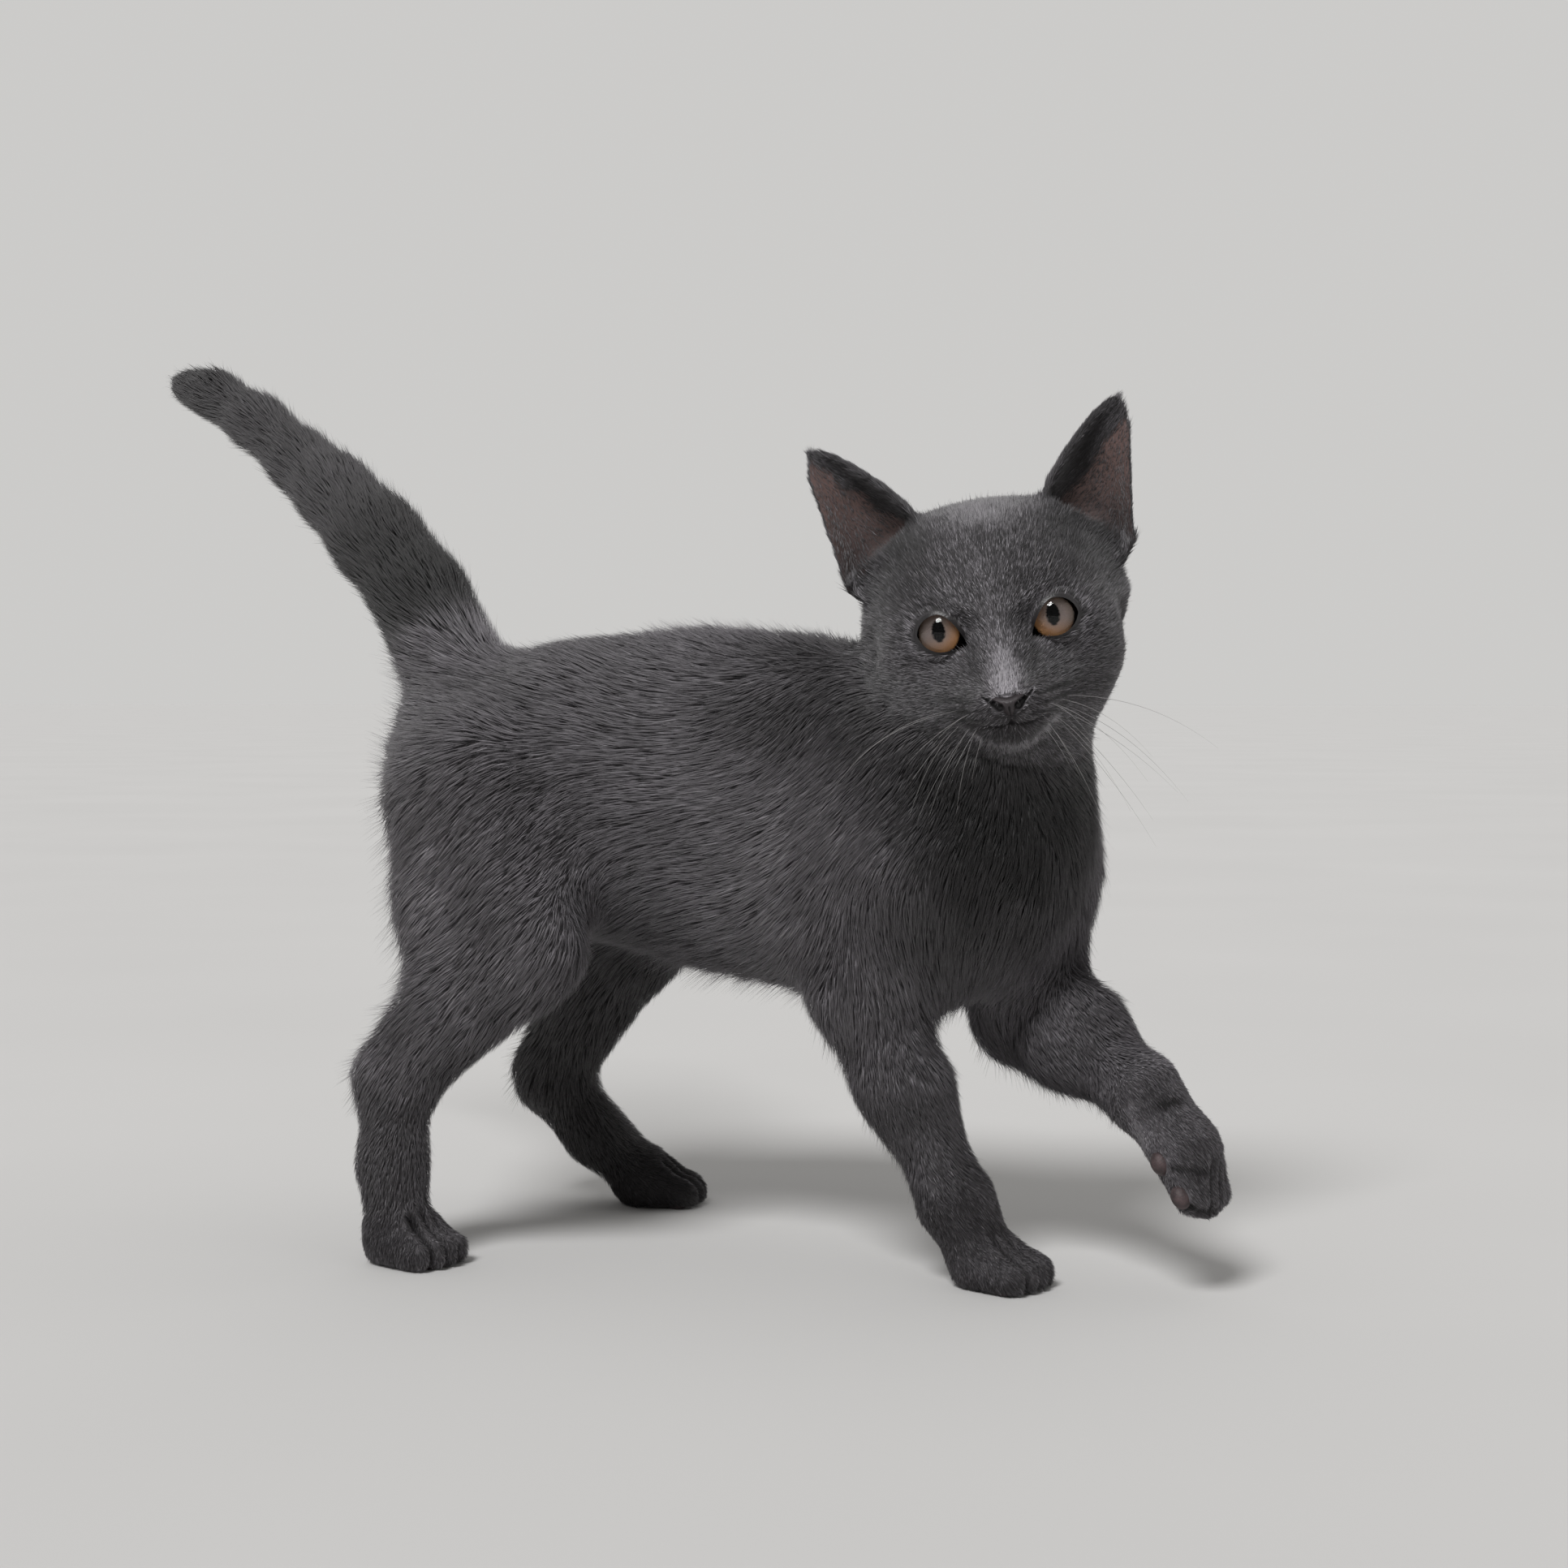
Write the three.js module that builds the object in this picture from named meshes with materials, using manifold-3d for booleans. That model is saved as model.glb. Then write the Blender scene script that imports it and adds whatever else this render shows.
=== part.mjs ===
// A life-size model of a kitten of about four months, walking, with its left forepaw raised and its
// head turned to its right. The body is one smooth field of tapered capsules laid along the bones,
// which is meshed once and then parted with thin cuts into head, neck, trunk, legs, paws and tail.
// The solids reach out to the tips of the coat.
//
// Millimetres. +X is the way the kitten walks, +Y its left side, +Z up, and the floor is at z = 0.

import * as THREE from "three";
import { mergeVertices } from "three/addons/utils/BufferGeometryUtils.js";
import Module from "manifold-3d";

const wasm = await Module();
wasm.setup();

// ---------------------------------------------------------------------------------------------
// Driving dimensions
// ---------------------------------------------------------------------------------------------

const MESH_CELL = 2; // grid step of the mesher
const SLIVER = 0.08; // slivers thinner than this are removed from the fine mesh
const BODY_FACETS = 2700; // facets left on the body once it is thinned out
const CUT_GAP = 0.35; // width of the cut between two neighbouring parts
const LEAST_PIECE = 60; // volume under which a chip left by crossing cuts is dropped
const FAR_AWAY = 1000;

const point = (x, y, z) => new THREE.Vector3(x, y, z);
const between = (from, to, share) => from.clone().lerp(to, share);
const degrees = THREE.MathUtils.degToRad;

// The head's own frame: its origin lies between the fronts of the eyes.
const HEAD = {
  origin: point(87.2, -44, 199.7),
  yaw: degrees(-80), // turned to the kitten's right
  pitch: degrees(-3), // looking very slightly down
  roll: degrees(8.4), // left ear raised
};

const EYE = { radius: 8.6, forward: -8.4, side: 16.8 };
const NOSE = { size: point(4.2, 6.4, 4.3), forward: 13.4, up: -23.6 };

// ---------------------------------------------------------------------------------------------
// The head frame
// ---------------------------------------------------------------------------------------------

function axesOfHead() {
  const { yaw, pitch, roll } = HEAD;
  const forward = point(
    Math.cos(pitch) * Math.cos(yaw),
    Math.cos(pitch) * Math.sin(yaw),
    Math.sin(pitch),
  );
  const levelLeft = point(0, 0, 1).cross(forward).normalize();
  const levelUp = forward.clone().cross(levelLeft);
  return {
    forward,
    left: levelLeft.clone().multiplyScalar(Math.cos(roll)).addScaledVector(levelUp, Math.sin(roll)),
    up: levelUp.clone().multiplyScalar(Math.cos(roll)).addScaledVector(levelLeft, -Math.sin(roll)),
  };
}

const headAxes = axesOfHead();

// A point of the head, given forward, to the kitten's left and up.
function onHead(forward, left, up) {
  return HEAD.origin
    .clone()
    .addScaledVector(headAxes.forward, forward)
    .addScaledVector(headAxes.left, left)
    .addScaledVector(headAxes.up, up);
}

function headDirection(forward, left, up) {
  return onHead(forward, left, up).sub(HEAD.origin).normalize();
}

// ---------------------------------------------------------------------------------------------
// Joints of the skeleton
// ---------------------------------------------------------------------------------------------

const RIGHT = {
  scapula: point(52, -22, 150),
  shoulder: point(60, -33, 125),
  elbow: point(42, -27, 87),
  forearm: { lift: 0, radius: 14.6 },
  wrist: point(73.5, -36, 24.5),
  knuckles: point(84.5, -38, 6.6),
  foreToes: headingVector(-22),
  hip: point(-89, -23, 151),
  knee: point(-60, -45, 99),
  ankle: point(-105, -49, 55),
  footKnuckles: point(-99, -54, 6.6),
  hindToes: headingVector(-22),
};

const LEFT = {
  scapula: point(76, 5, 150),
  shoulder: point(90, 9, 124),
  elbow: point(86, 13, 77),
  forearm: { lift: 3.5, radius: 16.8 },
  wrist: point(129, -25.5, 58.5),
  knuckles: point(143.2, -32, 42),
  hip: point(-91, 18, 150),
  knee: point(-54, 41, 95),
  ankle: point(-88, 48, 43),
  footKnuckles: point(-52.5, 53, 6.6),
  hindToes: headingVector(8),
};

const TAIL = [
  { at: point(-103, 5, 178), radius: 19 },
  { at: point(-112, 9, 195), radius: 18 },
  { at: point(-123, 14, 213), radius: 17.5 },
  { at: point(-143, 23, 233), radius: 17 },
  { at: point(-163, 33, 250), radius: 14.5 },
  { at: point(-180, 41, 262), radius: 12.5 },
  { at: point(-200, 49, 277), radius: 11 },
  { at: point(-222, 56, 289.5), radius: 9.5 },
  { at: point(-235, 59, 293), radius: 7.5 },
];

function headingVector(angle) {
  return point(Math.cos(degrees(angle)), Math.sin(degrees(angle)), 0);
}

// ---------------------------------------------------------------------------------------------
// Flesh: groups of tapered capsules, each group blended within itself over its own distance
// ---------------------------------------------------------------------------------------------

function capsule(from, fromRadius, to, toRadius) {
  return { from, fromRadius, to, toRadius };
}

function ball(at, radius) {
  return capsule(at, radius, at.clone().add(point(0, 0, 0.01)), radius);
}

// Capsules end to end through a list of { at, radius }.
function chain(stations) {
  return stations
    .slice(1)
    .map((next, i) => capsule(stations[i].at, stations[i].radius, next.at, next.radius));
}

function mirrored(make) {
  return [-1, 1].flatMap(make);
}

function trunk() {
  const back = [
    { at: point(-101, -1, 158), radius: 27 },
    { at: point(-62, 4, 161), radius: 33.5 },
    { at: point(-20, 7, 162.5), radius: 36 },
    { at: point(18, 3, 160.5), radius: 34.5 },
    { at: point(50, -6, 157), radius: 31 },
  ];
  const underside = [
    { at: point(-84, 1, 143), radius: 27 },
    { at: point(-50, 4, 135), radius: 34 },
    { at: point(-10, 6, 127.5), radius: 36.5 },
    { at: point(28, 0, 122), radius: 35 },
    { at: point(62, -12, 121), radius: 31 },
  ];
  const breast = [
    capsule(point(71, -9, 146), 33, point(75, -21, 110.5), 24),
    capsule(point(64, -8, 148), 30, point(80, -18, 128), 29),
  ];
  return { blend: 20, parts: [...chain(back), ...chain(underside), ...breast] };
}

function neck() {
  return {
    blend: 16,
    parts: [
      capsule(onHead(-32, 0, -6), 27, point(76, -7, 150), 33.5),
      capsule(onHead(-27, 0, -16), 20, point(82, -13, 139), 30),
    ],
  };
}

function skull() {
  return {
    blend: 9,
    parts: [
      capsule(onHead(-28, 0, 8), 27.5, onHead(-38, 0, 2), 25),
      ball(onHead(-18, 0, 12), 19.5),
      ...mirrored((side) => [
        capsule(onHead(-30, side * 18, 0), 22, onHead(-24, side * 19.5, -9), 18.5),
        ball(onHead(-20, side * 17, -17), 15),
        capsule(onHead(-14.5, side * 13, 10), 9.5, onHead(-20, side * 22, 8), 9.5),
        ball(onHead(-13.5, side * 25.5, -1), 9),
        capsule(onHead(-35, side * 28.5, 8), 13, onHead(-35, side * 30.5, 19), 8.5),
        capsule(onHead(-28, 0, 11), 27, onHead(-30, side * 14, 20.5), 14),
      ]),
    ],
  };
}

function muzzle() {
  return {
    blend: 5,
    parts: [
      capsule(onHead(-10, 0, -14), 15.5, onHead(2, 0, -22), 10),
      capsule(onHead(-8, 0, 4), 7.5, onHead(11, 0, -19.6), 5.2),
      ...mirrored((side) => [
        capsule(onHead(5.2, side * 6.6, -25), 7.5, onHead(-4, side * 10.5, -23), 8),
      ]),
      capsule(onHead(5, 0, -31.4), 6, onHead(-9, 0, -29), 11.5),
    ],
  };
}

// Hollows around the eyes, taken out of the flesh.
function eyeHollows() {
  return mirrored((side) => [
    capsule(onHead(4, side * 12.2, -1.5), 6, onHead(3.2, side * 18.4, 0.2), 5.2),
  ]);
}

// A leg is a chain of capsules along its bones, with the muscle masses that give it its outline.
function foreleg({ scapula, shoulder, elbow, forearm: muscle, wrist, knuckles }) {
  const bones = [
    { at: scapula, radius: 22 },
    { at: shoulder, radius: 22 },
    { at: elbow, radius: 18 },
  ];
  const forearm = [
    { at: elbow, radius: 17 },
    { at: elbow.clone().lerp(wrist, 0.45).add(point(0, 0, muscle.lift)), radius: muscle.radius },
    { at: wrist, radius: 10.5 },
    { at: knuckles, radius: 9 },
  ];
  return { blend: 9, parts: [...chain(bones), ...chain(forearm)] };
}

function hindLeg({ hip, knee, ankle, footKnuckles }) {
  const heel = ankle.clone().add(point(-6, 0, 5));
  const hamstring = [
    { at: hip.clone().add(point(-8, 0, -8)), radius: 23.5 },
    { at: hip.clone().lerp(ankle, 0.42).add(point(2, 0, 2)), radius: 17.5 },
    { at: knee.clone().lerp(ankle, 0.6).add(point(-4, 0, 9)), radius: 12 },
    { at: heel, radius: 8.5 },
  ];
  const bones = [
    { at: hip, radius: 27 },
    { at: knee, radius: 17.5 },
    { at: ankle, radius: 11.6 },
    { at: ankle.clone().lerp(footKnuckles, 0.5).add(point(-3, 0, 0)), radius: 10.7 },
    { at: footKnuckles.clone().add(point(-3, 0, 3)), radius: 10.9 },
  ];
  return { blend: 9, parts: [...chain(bones), ...chain(hamstring)] };
}

// A paw: a palm and four toes that fan out from the knuckles. `ahead` points along the toes and
// `above` out of the back of the paw.
function paw(knuckles, ahead, above, { length, spread, toeRadius }) {
  const across = above.clone().cross(ahead).normalize();
  const place = (forward, side, lift) =>
    knuckles
      .clone()
      .addScaledVector(ahead, forward)
      .addScaledVector(across, side)
      .addScaledVector(above, lift);
  const toes = [-1.5, -0.5, 0.5, 1.5].map((slot) => {
    const reach = length - 1.6 * Math.abs(slot);
    return capsule(
      place(0, slot * spread * 0.75, -0.5),
      toeRadius,
      place(reach, slot * spread, -2.2),
      toeRadius * 0.95,
    );
  });
  const palm = capsule(place(-3, -4, 0), toeRadius + 1.6, place(-3, 4, 0), toeRadius + 1.6);
  return { blend: 2.6, parts: [palm, ...toes] };
}

const UP = point(0, 0, 1);
const PAW = { length: 14, spread: 5.4, toeRadius: 5.8 };
const HANGING_PAW = { length: 15, spread: 5.9, toeRadius: 6.4 };
const hangingPaw = {
  ahead: point(0.48, -0.2, -0.86).normalize(),
  above: point(0.84, -0.2, 0.5).normalize(),
};

const FLESH = [
  trunk(),
  neck(),
  skull(),
  muzzle(),
  foreleg(RIGHT),
  foreleg(LEFT),
  hindLeg(RIGHT),
  hindLeg(LEFT),
  paw(RIGHT.knuckles, RIGHT.foreToes, UP, PAW),
  paw(RIGHT.footKnuckles, RIGHT.hindToes, UP, PAW),
  paw(LEFT.footKnuckles, LEFT.hindToes, UP, PAW),
  paw(LEFT.knuckles, hangingPaw.ahead, hangingPaw.above, HANGING_PAW),
  { blend: 6, parts: chain(TAIL) },
];
const BODY_BLEND = 9; // blend between one group of flesh and the next
const HOLLOW_BLEND = 4;
const BELOW_FLOOR = 1.5;

// ---------------------------------------------------------------------------------------------
// The field and its mesher
// ---------------------------------------------------------------------------------------------

function distanceToCapsule(x, y, z, { from, to, fromRadius, toRadius }) {
  const bx = to.x - from.x;
  const by = to.y - from.y;
  const bz = to.z - from.z;
  const px = x - from.x;
  const py = y - from.y;
  const pz = z - from.z;
  const along = (px * bx + py * by + pz * bz) / (bx * bx + by * by + bz * bz);
  const t = Math.min(1, Math.max(0, along));
  const gap = Math.hypot(px - t * bx, py - t * by, pz - t * bz);
  return gap - fromRadius - t * (toRadius - fromRadius);
}

function smoothMin(a, b, blend) {
  const overlap = Math.max(blend - Math.abs(a - b), 0);
  return Math.min(a, b) - (overlap * overlap) / (4 * blend);
}

// The box round a group of capsules, used to pass over groups too far away to matter.
function boxAround(parts) {
  const box = new THREE.Box3();
  for (const { from, to, fromRadius, toRadius } of parts) {
    box.union(new THREE.Box3().setFromPoints([from]).expandByScalar(fromRadius));
    box.union(new THREE.Box3().setFromPoints([to]).expandByScalar(toRadius));
  }
  return box;
}

function distanceToBox(x, y, z, { min, max }) {
  const dx = Math.max(min.x - x, 0, x - max.x);
  const dy = Math.max(min.y - y, 0, y - max.y);
  const dz = Math.max(min.z - z, 0, z - max.z);
  return Math.hypot(dx, dy, dz);
}

const GROUPS = FLESH.map((group) => ({ ...group, box: boxAround(group.parts) }));
const HOLLOWS = eyeHollows();
const HOLLOW_BOX = boxAround(HOLLOWS);

// Signed distance to the body, about zero on the tips of the coat. Just below the floor the field
// ends, and the soles are cut flat at the floor itself.
function bodyField(x, y, z) {
  let body = FAR_AWAY;
  for (const { blend, parts, box } of GROUPS) {
    if (distanceToBox(x, y, z, box) - blend > Math.min(body, 3 * MESH_CELL) + BODY_BLEND) {
      continue;
    }
    let group = FAR_AWAY;
    for (const part of parts) {
      group = smoothMin(group, distanceToCapsule(x, y, z, part), blend);
    }
    body = smoothMin(body, group, BODY_BLEND);
  }
  if (distanceToBox(x, y, z, HOLLOW_BOX) < BODY_BLEND) {
    for (const hollow of HOLLOWS) {
      body = -smoothMin(-body, distanceToCapsule(x, y, z, hollow), HOLLOW_BLEND);
    }
  }
  return Math.max(body, -z - BELOW_FLOOR);
}

// Marching tetrahedra over a box: six tetrahedra to a cell, all sharing the cell's long diagonal.
function meshField(field, box, cell) {
  const size = box.getSize(point(0, 0, 0));
  const [nx, ny, nz] = [size.x, size.y, size.z].map((length) => Math.ceil(length / cell) + 1);
  const step = [1, nx, nx * ny];
  const values = new Float32Array(nx * ny * nz);
  const place = (index) => [
    box.min.x + (index % nx) * cell,
    box.min.y + (Math.floor(index / nx) % ny) * cell,
    box.min.z + Math.floor(index / step[2]) * cell,
  ];
  for (let i = 0; i < values.length; i++) {
    values[i] = field(...place(i)) || 1e-6;
  }

  const corner = (bits) => (bits & 1) * step[0] + ((bits >> 1) & 1) * step[1] + (bits >> 2) * step[2];
  const orders = [[1, 3], [1, 5], [2, 3], [2, 6], [4, 5], [4, 6]];
  const tetrahedra = orders.map(([second, third]) => [0, second, third, 7].map(corner));

  const positions = [];
  const triangles = [];
  const vertexOn = new Map();
  const crossing = (inside, outside) => {
    const key = Math.min(inside, outside) * values.length + Math.max(inside, outside);
    if (!vertexOn.has(key)) {
      const share = THREE.MathUtils.clamp(values[inside] / (values[inside] - values[outside]), 0.01, 0.99);
      const a = place(inside);
      const b = place(outside);
      vertexOn.set(key, positions.length / 3);
      positions.push(...a.map((value, axis) => value + share * (b[axis] - value)));
    }
    return vertexOn.get(key);
  };
  const addTriangle = (a, b, c, inside, outside) => {
    const [p, q, r] = [a, b, c].map((index) => vertexAt(positions, index));
    const outward = point(...place(outside)).sub(point(...place(inside)));
    const normal = q.sub(p).cross(r.sub(p));
    triangles.push(...(normal.dot(outward) > 0 ? [a, b, c] : [a, c, b]));
  };

  for (let i = 0; i < nx * ny * nz - corner(7); i++) {
    if (i % nx === nx - 1 || Math.floor(i / nx) % ny === ny - 1) {
      continue;
    }
    for (const tetrahedron of tetrahedra) {
      const corners = tetrahedron.map((offset) => i + offset);
      const inner = corners.filter((index) => values[index] < 0);
      const outer = corners.filter((index) => values[index] >= 0);
      if (inner.length === 1 || inner.length === 3) {
        const alone = inner.length === 1 ? inner[0] : outer[0];
        const others = inner.length === 1 ? outer : inner;
        const ring = others.map((index) =>
          inner.length === 1 ? crossing(alone, index) : crossing(index, alone),
        );
        addTriangle(...ring, inner[0], outer[0]);
      } else if (inner.length === 2) {
        const ring = [
          crossing(inner[0], outer[0]),
          crossing(inner[0], outer[1]),
          crossing(inner[1], outer[1]),
          crossing(inner[1], outer[0]),
        ];
        addTriangle(ring[0], ring[1], ring[2], inner[0], outer[0]);
        addTriangle(ring[0], ring[2], ring[3], inner[0], outer[0]);
      }
    }
  }
  const mesh = new wasm.Mesh({
    numProp: 3,
    vertProperties: new Float32Array(positions),
    triVerts: new Uint32Array(triangles),
  });
  return new wasm.Manifold(mesh).simplify(SLIVER);
}

function vertexAt(positions, index) {
  return point(positions[3 * index], positions[3 * index + 1], positions[3 * index + 2]);
}

// ---------------------------------------------------------------------------------------------
// Thinning out the facets: edges are collapsed in the order in which they matter least to the
// shape, by the summed squared distance to the planes of the facets round them (a quadric)
// ---------------------------------------------------------------------------------------------

// A least-first queue of [cost, ...rest].
class CostQueue {
  entries = [];

  push(entry) {
    const { entries } = this;
    let i = entries.push(entry) - 1;
    for (let up = (i - 1) >> 1; i > 0 && entries[up][0] > entry[0]; up = (i - 1) >> 1) {
      entries[i] = entries[up];
      i = up;
    }
    entries[i] = entry;
  }

  pop() {
    const { entries } = this;
    const least = entries[0];
    const last = entries.pop();
    const { length } = entries;
    let i = 0;
    for (let down = 1; down < length; down = 2 * i + 1) {
      const child = down + 1 < length && entries[down + 1][0] < entries[down][0] ? down + 1 : down;
      if (entries[child][0] >= last[0]) {
        break;
      }
      entries[i] = entries[child];
      i = child;
    }
    if (length > 0) {
      entries[i] = last;
    }
    return least;
  }
}

function planeQuadric(normal, offset, weight) {
  const { x, y, z } = normal;
  const d = offset;
  return [x * x, x * y, x * z, x * d, y * y, y * z, y * d, z * z, z * d, d * d].map(
    (term) => term * weight,
  );
}

function quadricCost(q, { x, y, z }) {
  return (
    q[0] * x * x + 2 * q[1] * x * y + 2 * q[2] * x * z + 2 * q[3] * x +
    q[4] * y * y + 2 * q[5] * y * z + 2 * q[6] * y + q[7] * z * z + 2 * q[8] * z + q[9]
  );
}

// The best place for the vertex that replaces an edge: the least of the quadric, or an end or the
// middle of the edge where the quadric is flat.
function bestPlace(q, a, b) {
  const choices = [a, b, between(a, b, 0.5)];
  const matrix = new THREE.Matrix3().set(q[0], q[1], q[2], q[1], q[4], q[5], q[2], q[5], q[7]);
  const scale = Math.max(q[0], q[4], q[7]);
  if (matrix.determinant() > 1e-4 * scale ** 3) {
    const least = point(-q[3], -q[6], -q[8]).applyMatrix3(matrix.invert());
    if (least.distanceTo(choices[2]) < a.distanceTo(b)) {
      choices.push(least);
    }
  }
  const costs = choices.map((choice) => quadricCost(q, choice));
  const cost = Math.min(...costs);
  return { place: choices[costs.indexOf(cost)], cost };
}

function thinOut(solid, facetsLeft, importance) {
  const { vertProperties, triVerts } = solid.getMesh();
  const places = Array.from({ length: vertProperties.length / 3 }, (_, i) =>
    vertexAt(vertProperties, i),
  );
  const faces = Array.from({ length: triVerts.length / 3 }, (_, i) => [
    ...triVerts.subarray(3 * i, 3 * i + 3),
  ]);
  const facesRound = places.map(() => new Set());
  const quadrics = places.map(() => new Array(10).fill(0));
  const normalOf = ([a, b, c]) => {
    const edge = places[b].clone().sub(places[a]);
    return edge.cross(places[c].clone().sub(places[a]));
  };
  faces.forEach((face, index) => {
    const normal = normalOf(face);
    const area = normal.length();
    normal.divideScalar(Math.max(area, 1e-12));
    const weight = area * importance(places[face[0]]);
    const quadric = planeQuadric(normal, -normal.dot(places[face[0]]), weight);
    for (const vertex of face) {
      facesRound[vertex].add(index);
      quadrics[vertex] = quadrics[vertex].map((term, k) => term + quadric[k]);
    }
  });

  const version = new Uint32Array(places.length);
  const queue = new CostQueue();
  const neighbours = (vertex) => {
    const found = new Set();
    for (const index of facesRound[vertex]) {
      faces[index].forEach((other) => found.add(other));
    }
    found.delete(vertex);
    return found;
  };
  const offer = (a, b) => {
    const sum = quadrics[a].map((term, k) => term + quadrics[b][k]);
    const { place, cost } = bestPlace(sum, places[a], places[b]);
    const evenness = 1e-4 * places[a].distanceToSquared(places[b]);
    queue.push([cost + evenness, a, b, version[a], version[b], place]);
  };
  for (let vertex = 0; vertex < places.length; vertex++) {
    neighbours(vertex).forEach((other) => other > vertex && offer(vertex, other));
  }

  // Moving a vertex must not turn over or pinch any facet that stays.
  const keepsFacing = (vertex, other, place) => {
    for (const index of facesRound[vertex]) {
      if (!faces[index].includes(other)) {
        const before = normalOf(faces[index]);
        const old = places[vertex];
        places[vertex] = place;
        const after = normalOf(faces[index]);
        places[vertex] = old;
        if (after.dot(before) < 0.25 * after.length() * before.length() || after.length() < 1e-3) {
          return false;
        }
      }
    }
    return true;
  };

  let count = faces.length;
  while (count > facetsLeft && queue.entries.length > 0) {
    const [, a, b, versionA, versionB, place] = queue.pop();
    if (version[a] !== versionA || version[b] !== versionB || !places[a] || !places[b]) {
      continue;
    }
    const round = neighbours(b);
    const shared = [...neighbours(a)].filter((vertex) => round.has(vertex));
    if (shared.length !== 2 || !keepsFacing(a, b, place) || !keepsFacing(b, a, place)) {
      continue;
    }
    for (const index of facesRound[b]) {
      const face = faces[index];
      if (face.includes(a)) {
        face.forEach((vertex) => facesRound[vertex].delete(index));
        faces[index] = null;
        count -= 1;
      } else {
        faces[index] = face.map((vertex) => (vertex === b ? a : vertex));
        facesRound[a].add(index);
      }
    }
    quadrics[a] = quadrics[a].map((term, k) => term + quadrics[b][k]);
    places[a] = place;
    places[b] = null;
    version[a] += 1;
    neighbours(a).forEach((other) => offer(a, other));
  }

  const kept = faces.filter(Boolean);
  const numberOf = new Map([...new Set(kept.flat())].map((vertex, i) => [vertex, i]));
  return new wasm.Manifold(
    new wasm.Mesh({
      numProp: 3,
      vertProperties: new Float32Array([...numberOf.keys()].flatMap((v) => places[v].toArray())),
      triVerts: new Uint32Array(kept.flat().map((vertex) => numberOf.get(vertex))),
    }),
  );
}

// ---------------------------------------------------------------------------------------------
// Between three.js geometry and solids
// ---------------------------------------------------------------------------------------------

function solidOf(geometry) {
  geometry.deleteAttribute("normal");
  geometry.deleteAttribute("uv");
  const merged = mergeVertices(geometry, 1e-4);
  return new wasm.Manifold(
    new wasm.Mesh({
      numProp: 3,
      vertProperties: merged.attributes.position.array,
      triVerts: new Uint32Array(merged.index.array),
    }),
  );
}

function geometryOf(solid) {
  const mesh = solid.getMesh();
  const geometry = new THREE.BufferGeometry();
  geometry.setAttribute("position", new THREE.BufferAttribute(mesh.vertProperties, 3));
  geometry.setIndex(new THREE.BufferAttribute(mesh.triVerts, 1));
  geometry.computeVertexNormals();
  return geometry;
}

// A thin disc, square to a direction, that parts two neighbours.
function cuttingDisc({ at, along, radius }) {
  const geometry = new THREE.CylinderGeometry(radius, radius, CUT_GAP, 16);
  const turn = new THREE.Quaternion().setFromUnitVectors(
    point(0, 1, 0),
    along.clone().normalize(),
  );
  geometry.applyQuaternion(turn);
  geometry.translate(at.x, at.y, at.z);
  return solidOf(geometry);
}

function headEllipsoid(centre, size, grow = 0) {
  const geometry = new THREE.SphereGeometry(1, 16, 9);
  const frame = new THREE.Matrix4().makeBasis(headAxes.forward, headAxes.left, headAxes.up);
  geometry.scale(size.x + grow, size.y + grow, size.z + grow);
  geometry.applyMatrix4(frame);
  geometry.translate(centre.x, centre.y, centre.z);
  return solidOf(geometry);
}

// ---------------------------------------------------------------------------------------------
// Ears: a cupped shell stretched between its inner and its outer edge
// ---------------------------------------------------------------------------------------------

// Edges of an ear as forward, outward, up in the head frame, from root to tip.
const EAR = {
  innerEdge: [
    [-30, 13, 20],
    [-25, 16, 31],
    [-22.5, 22.4, 42.3],
    [-22, 31.5, 53],
    [-23, 39.6, 60.3],
    [-24.5, 44.6, 63],
  ],
  outerEdge: [
    [-32, 31, 2],
    [-28, 44.5, 13],
    [-25, 46.4, 29],
    [-23.5, 48, 45],
    [-23.5, 49.1, 55],
    [-24.5, 47.3, 61.8],
  ],
  root: [28, 20], // outward, up: the point an ear turns about
  splay: { left: degrees(-0.8), right: degrees(4.4) }, // how far each ear leans outward
  cupDepth: 15,
  thickness: 3,
  rows: 8,
  columns: 7,
};

// Where an ear lies at a share of its height: its chord, the depth of its cup and its wall.
function earSection(side, height) {
  const lean = side > 0 ? EAR.splay.left : EAR.splay.right;
  const [rootOut, rootUp] = EAR.root;
  const edge = (points) => {
    const turned = points.map(([forward, out, up]) => {
      const [x, y] = [out - rootOut, up - rootUp];
      const turnedOut = rootOut + x * Math.cos(lean) + y * Math.sin(lean);
      const turnedUp = rootUp + y * Math.cos(lean) - x * Math.sin(lean);
      return onHead(forward, side * turnedOut, turnedUp);
    });
    return new THREE.CatmullRomCurve3(turned);
  };
  const from = edge(EAR.innerEdge).getPoint(height);
  const chord = edge(EAR.outerEdge).getPoint(height).sub(from);
  const width = chord.length();
  return {
    from,
    chord,
    deep: Math.min(EAR.cupDepth, width * 0.62) * (1 - 0.25 * height),
    wall: Math.min(EAR.thickness, 0.9 + width * 0.12),
    backward: headDirection(-0.93, -side * 0.36, -0.12),
  };
}

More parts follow.
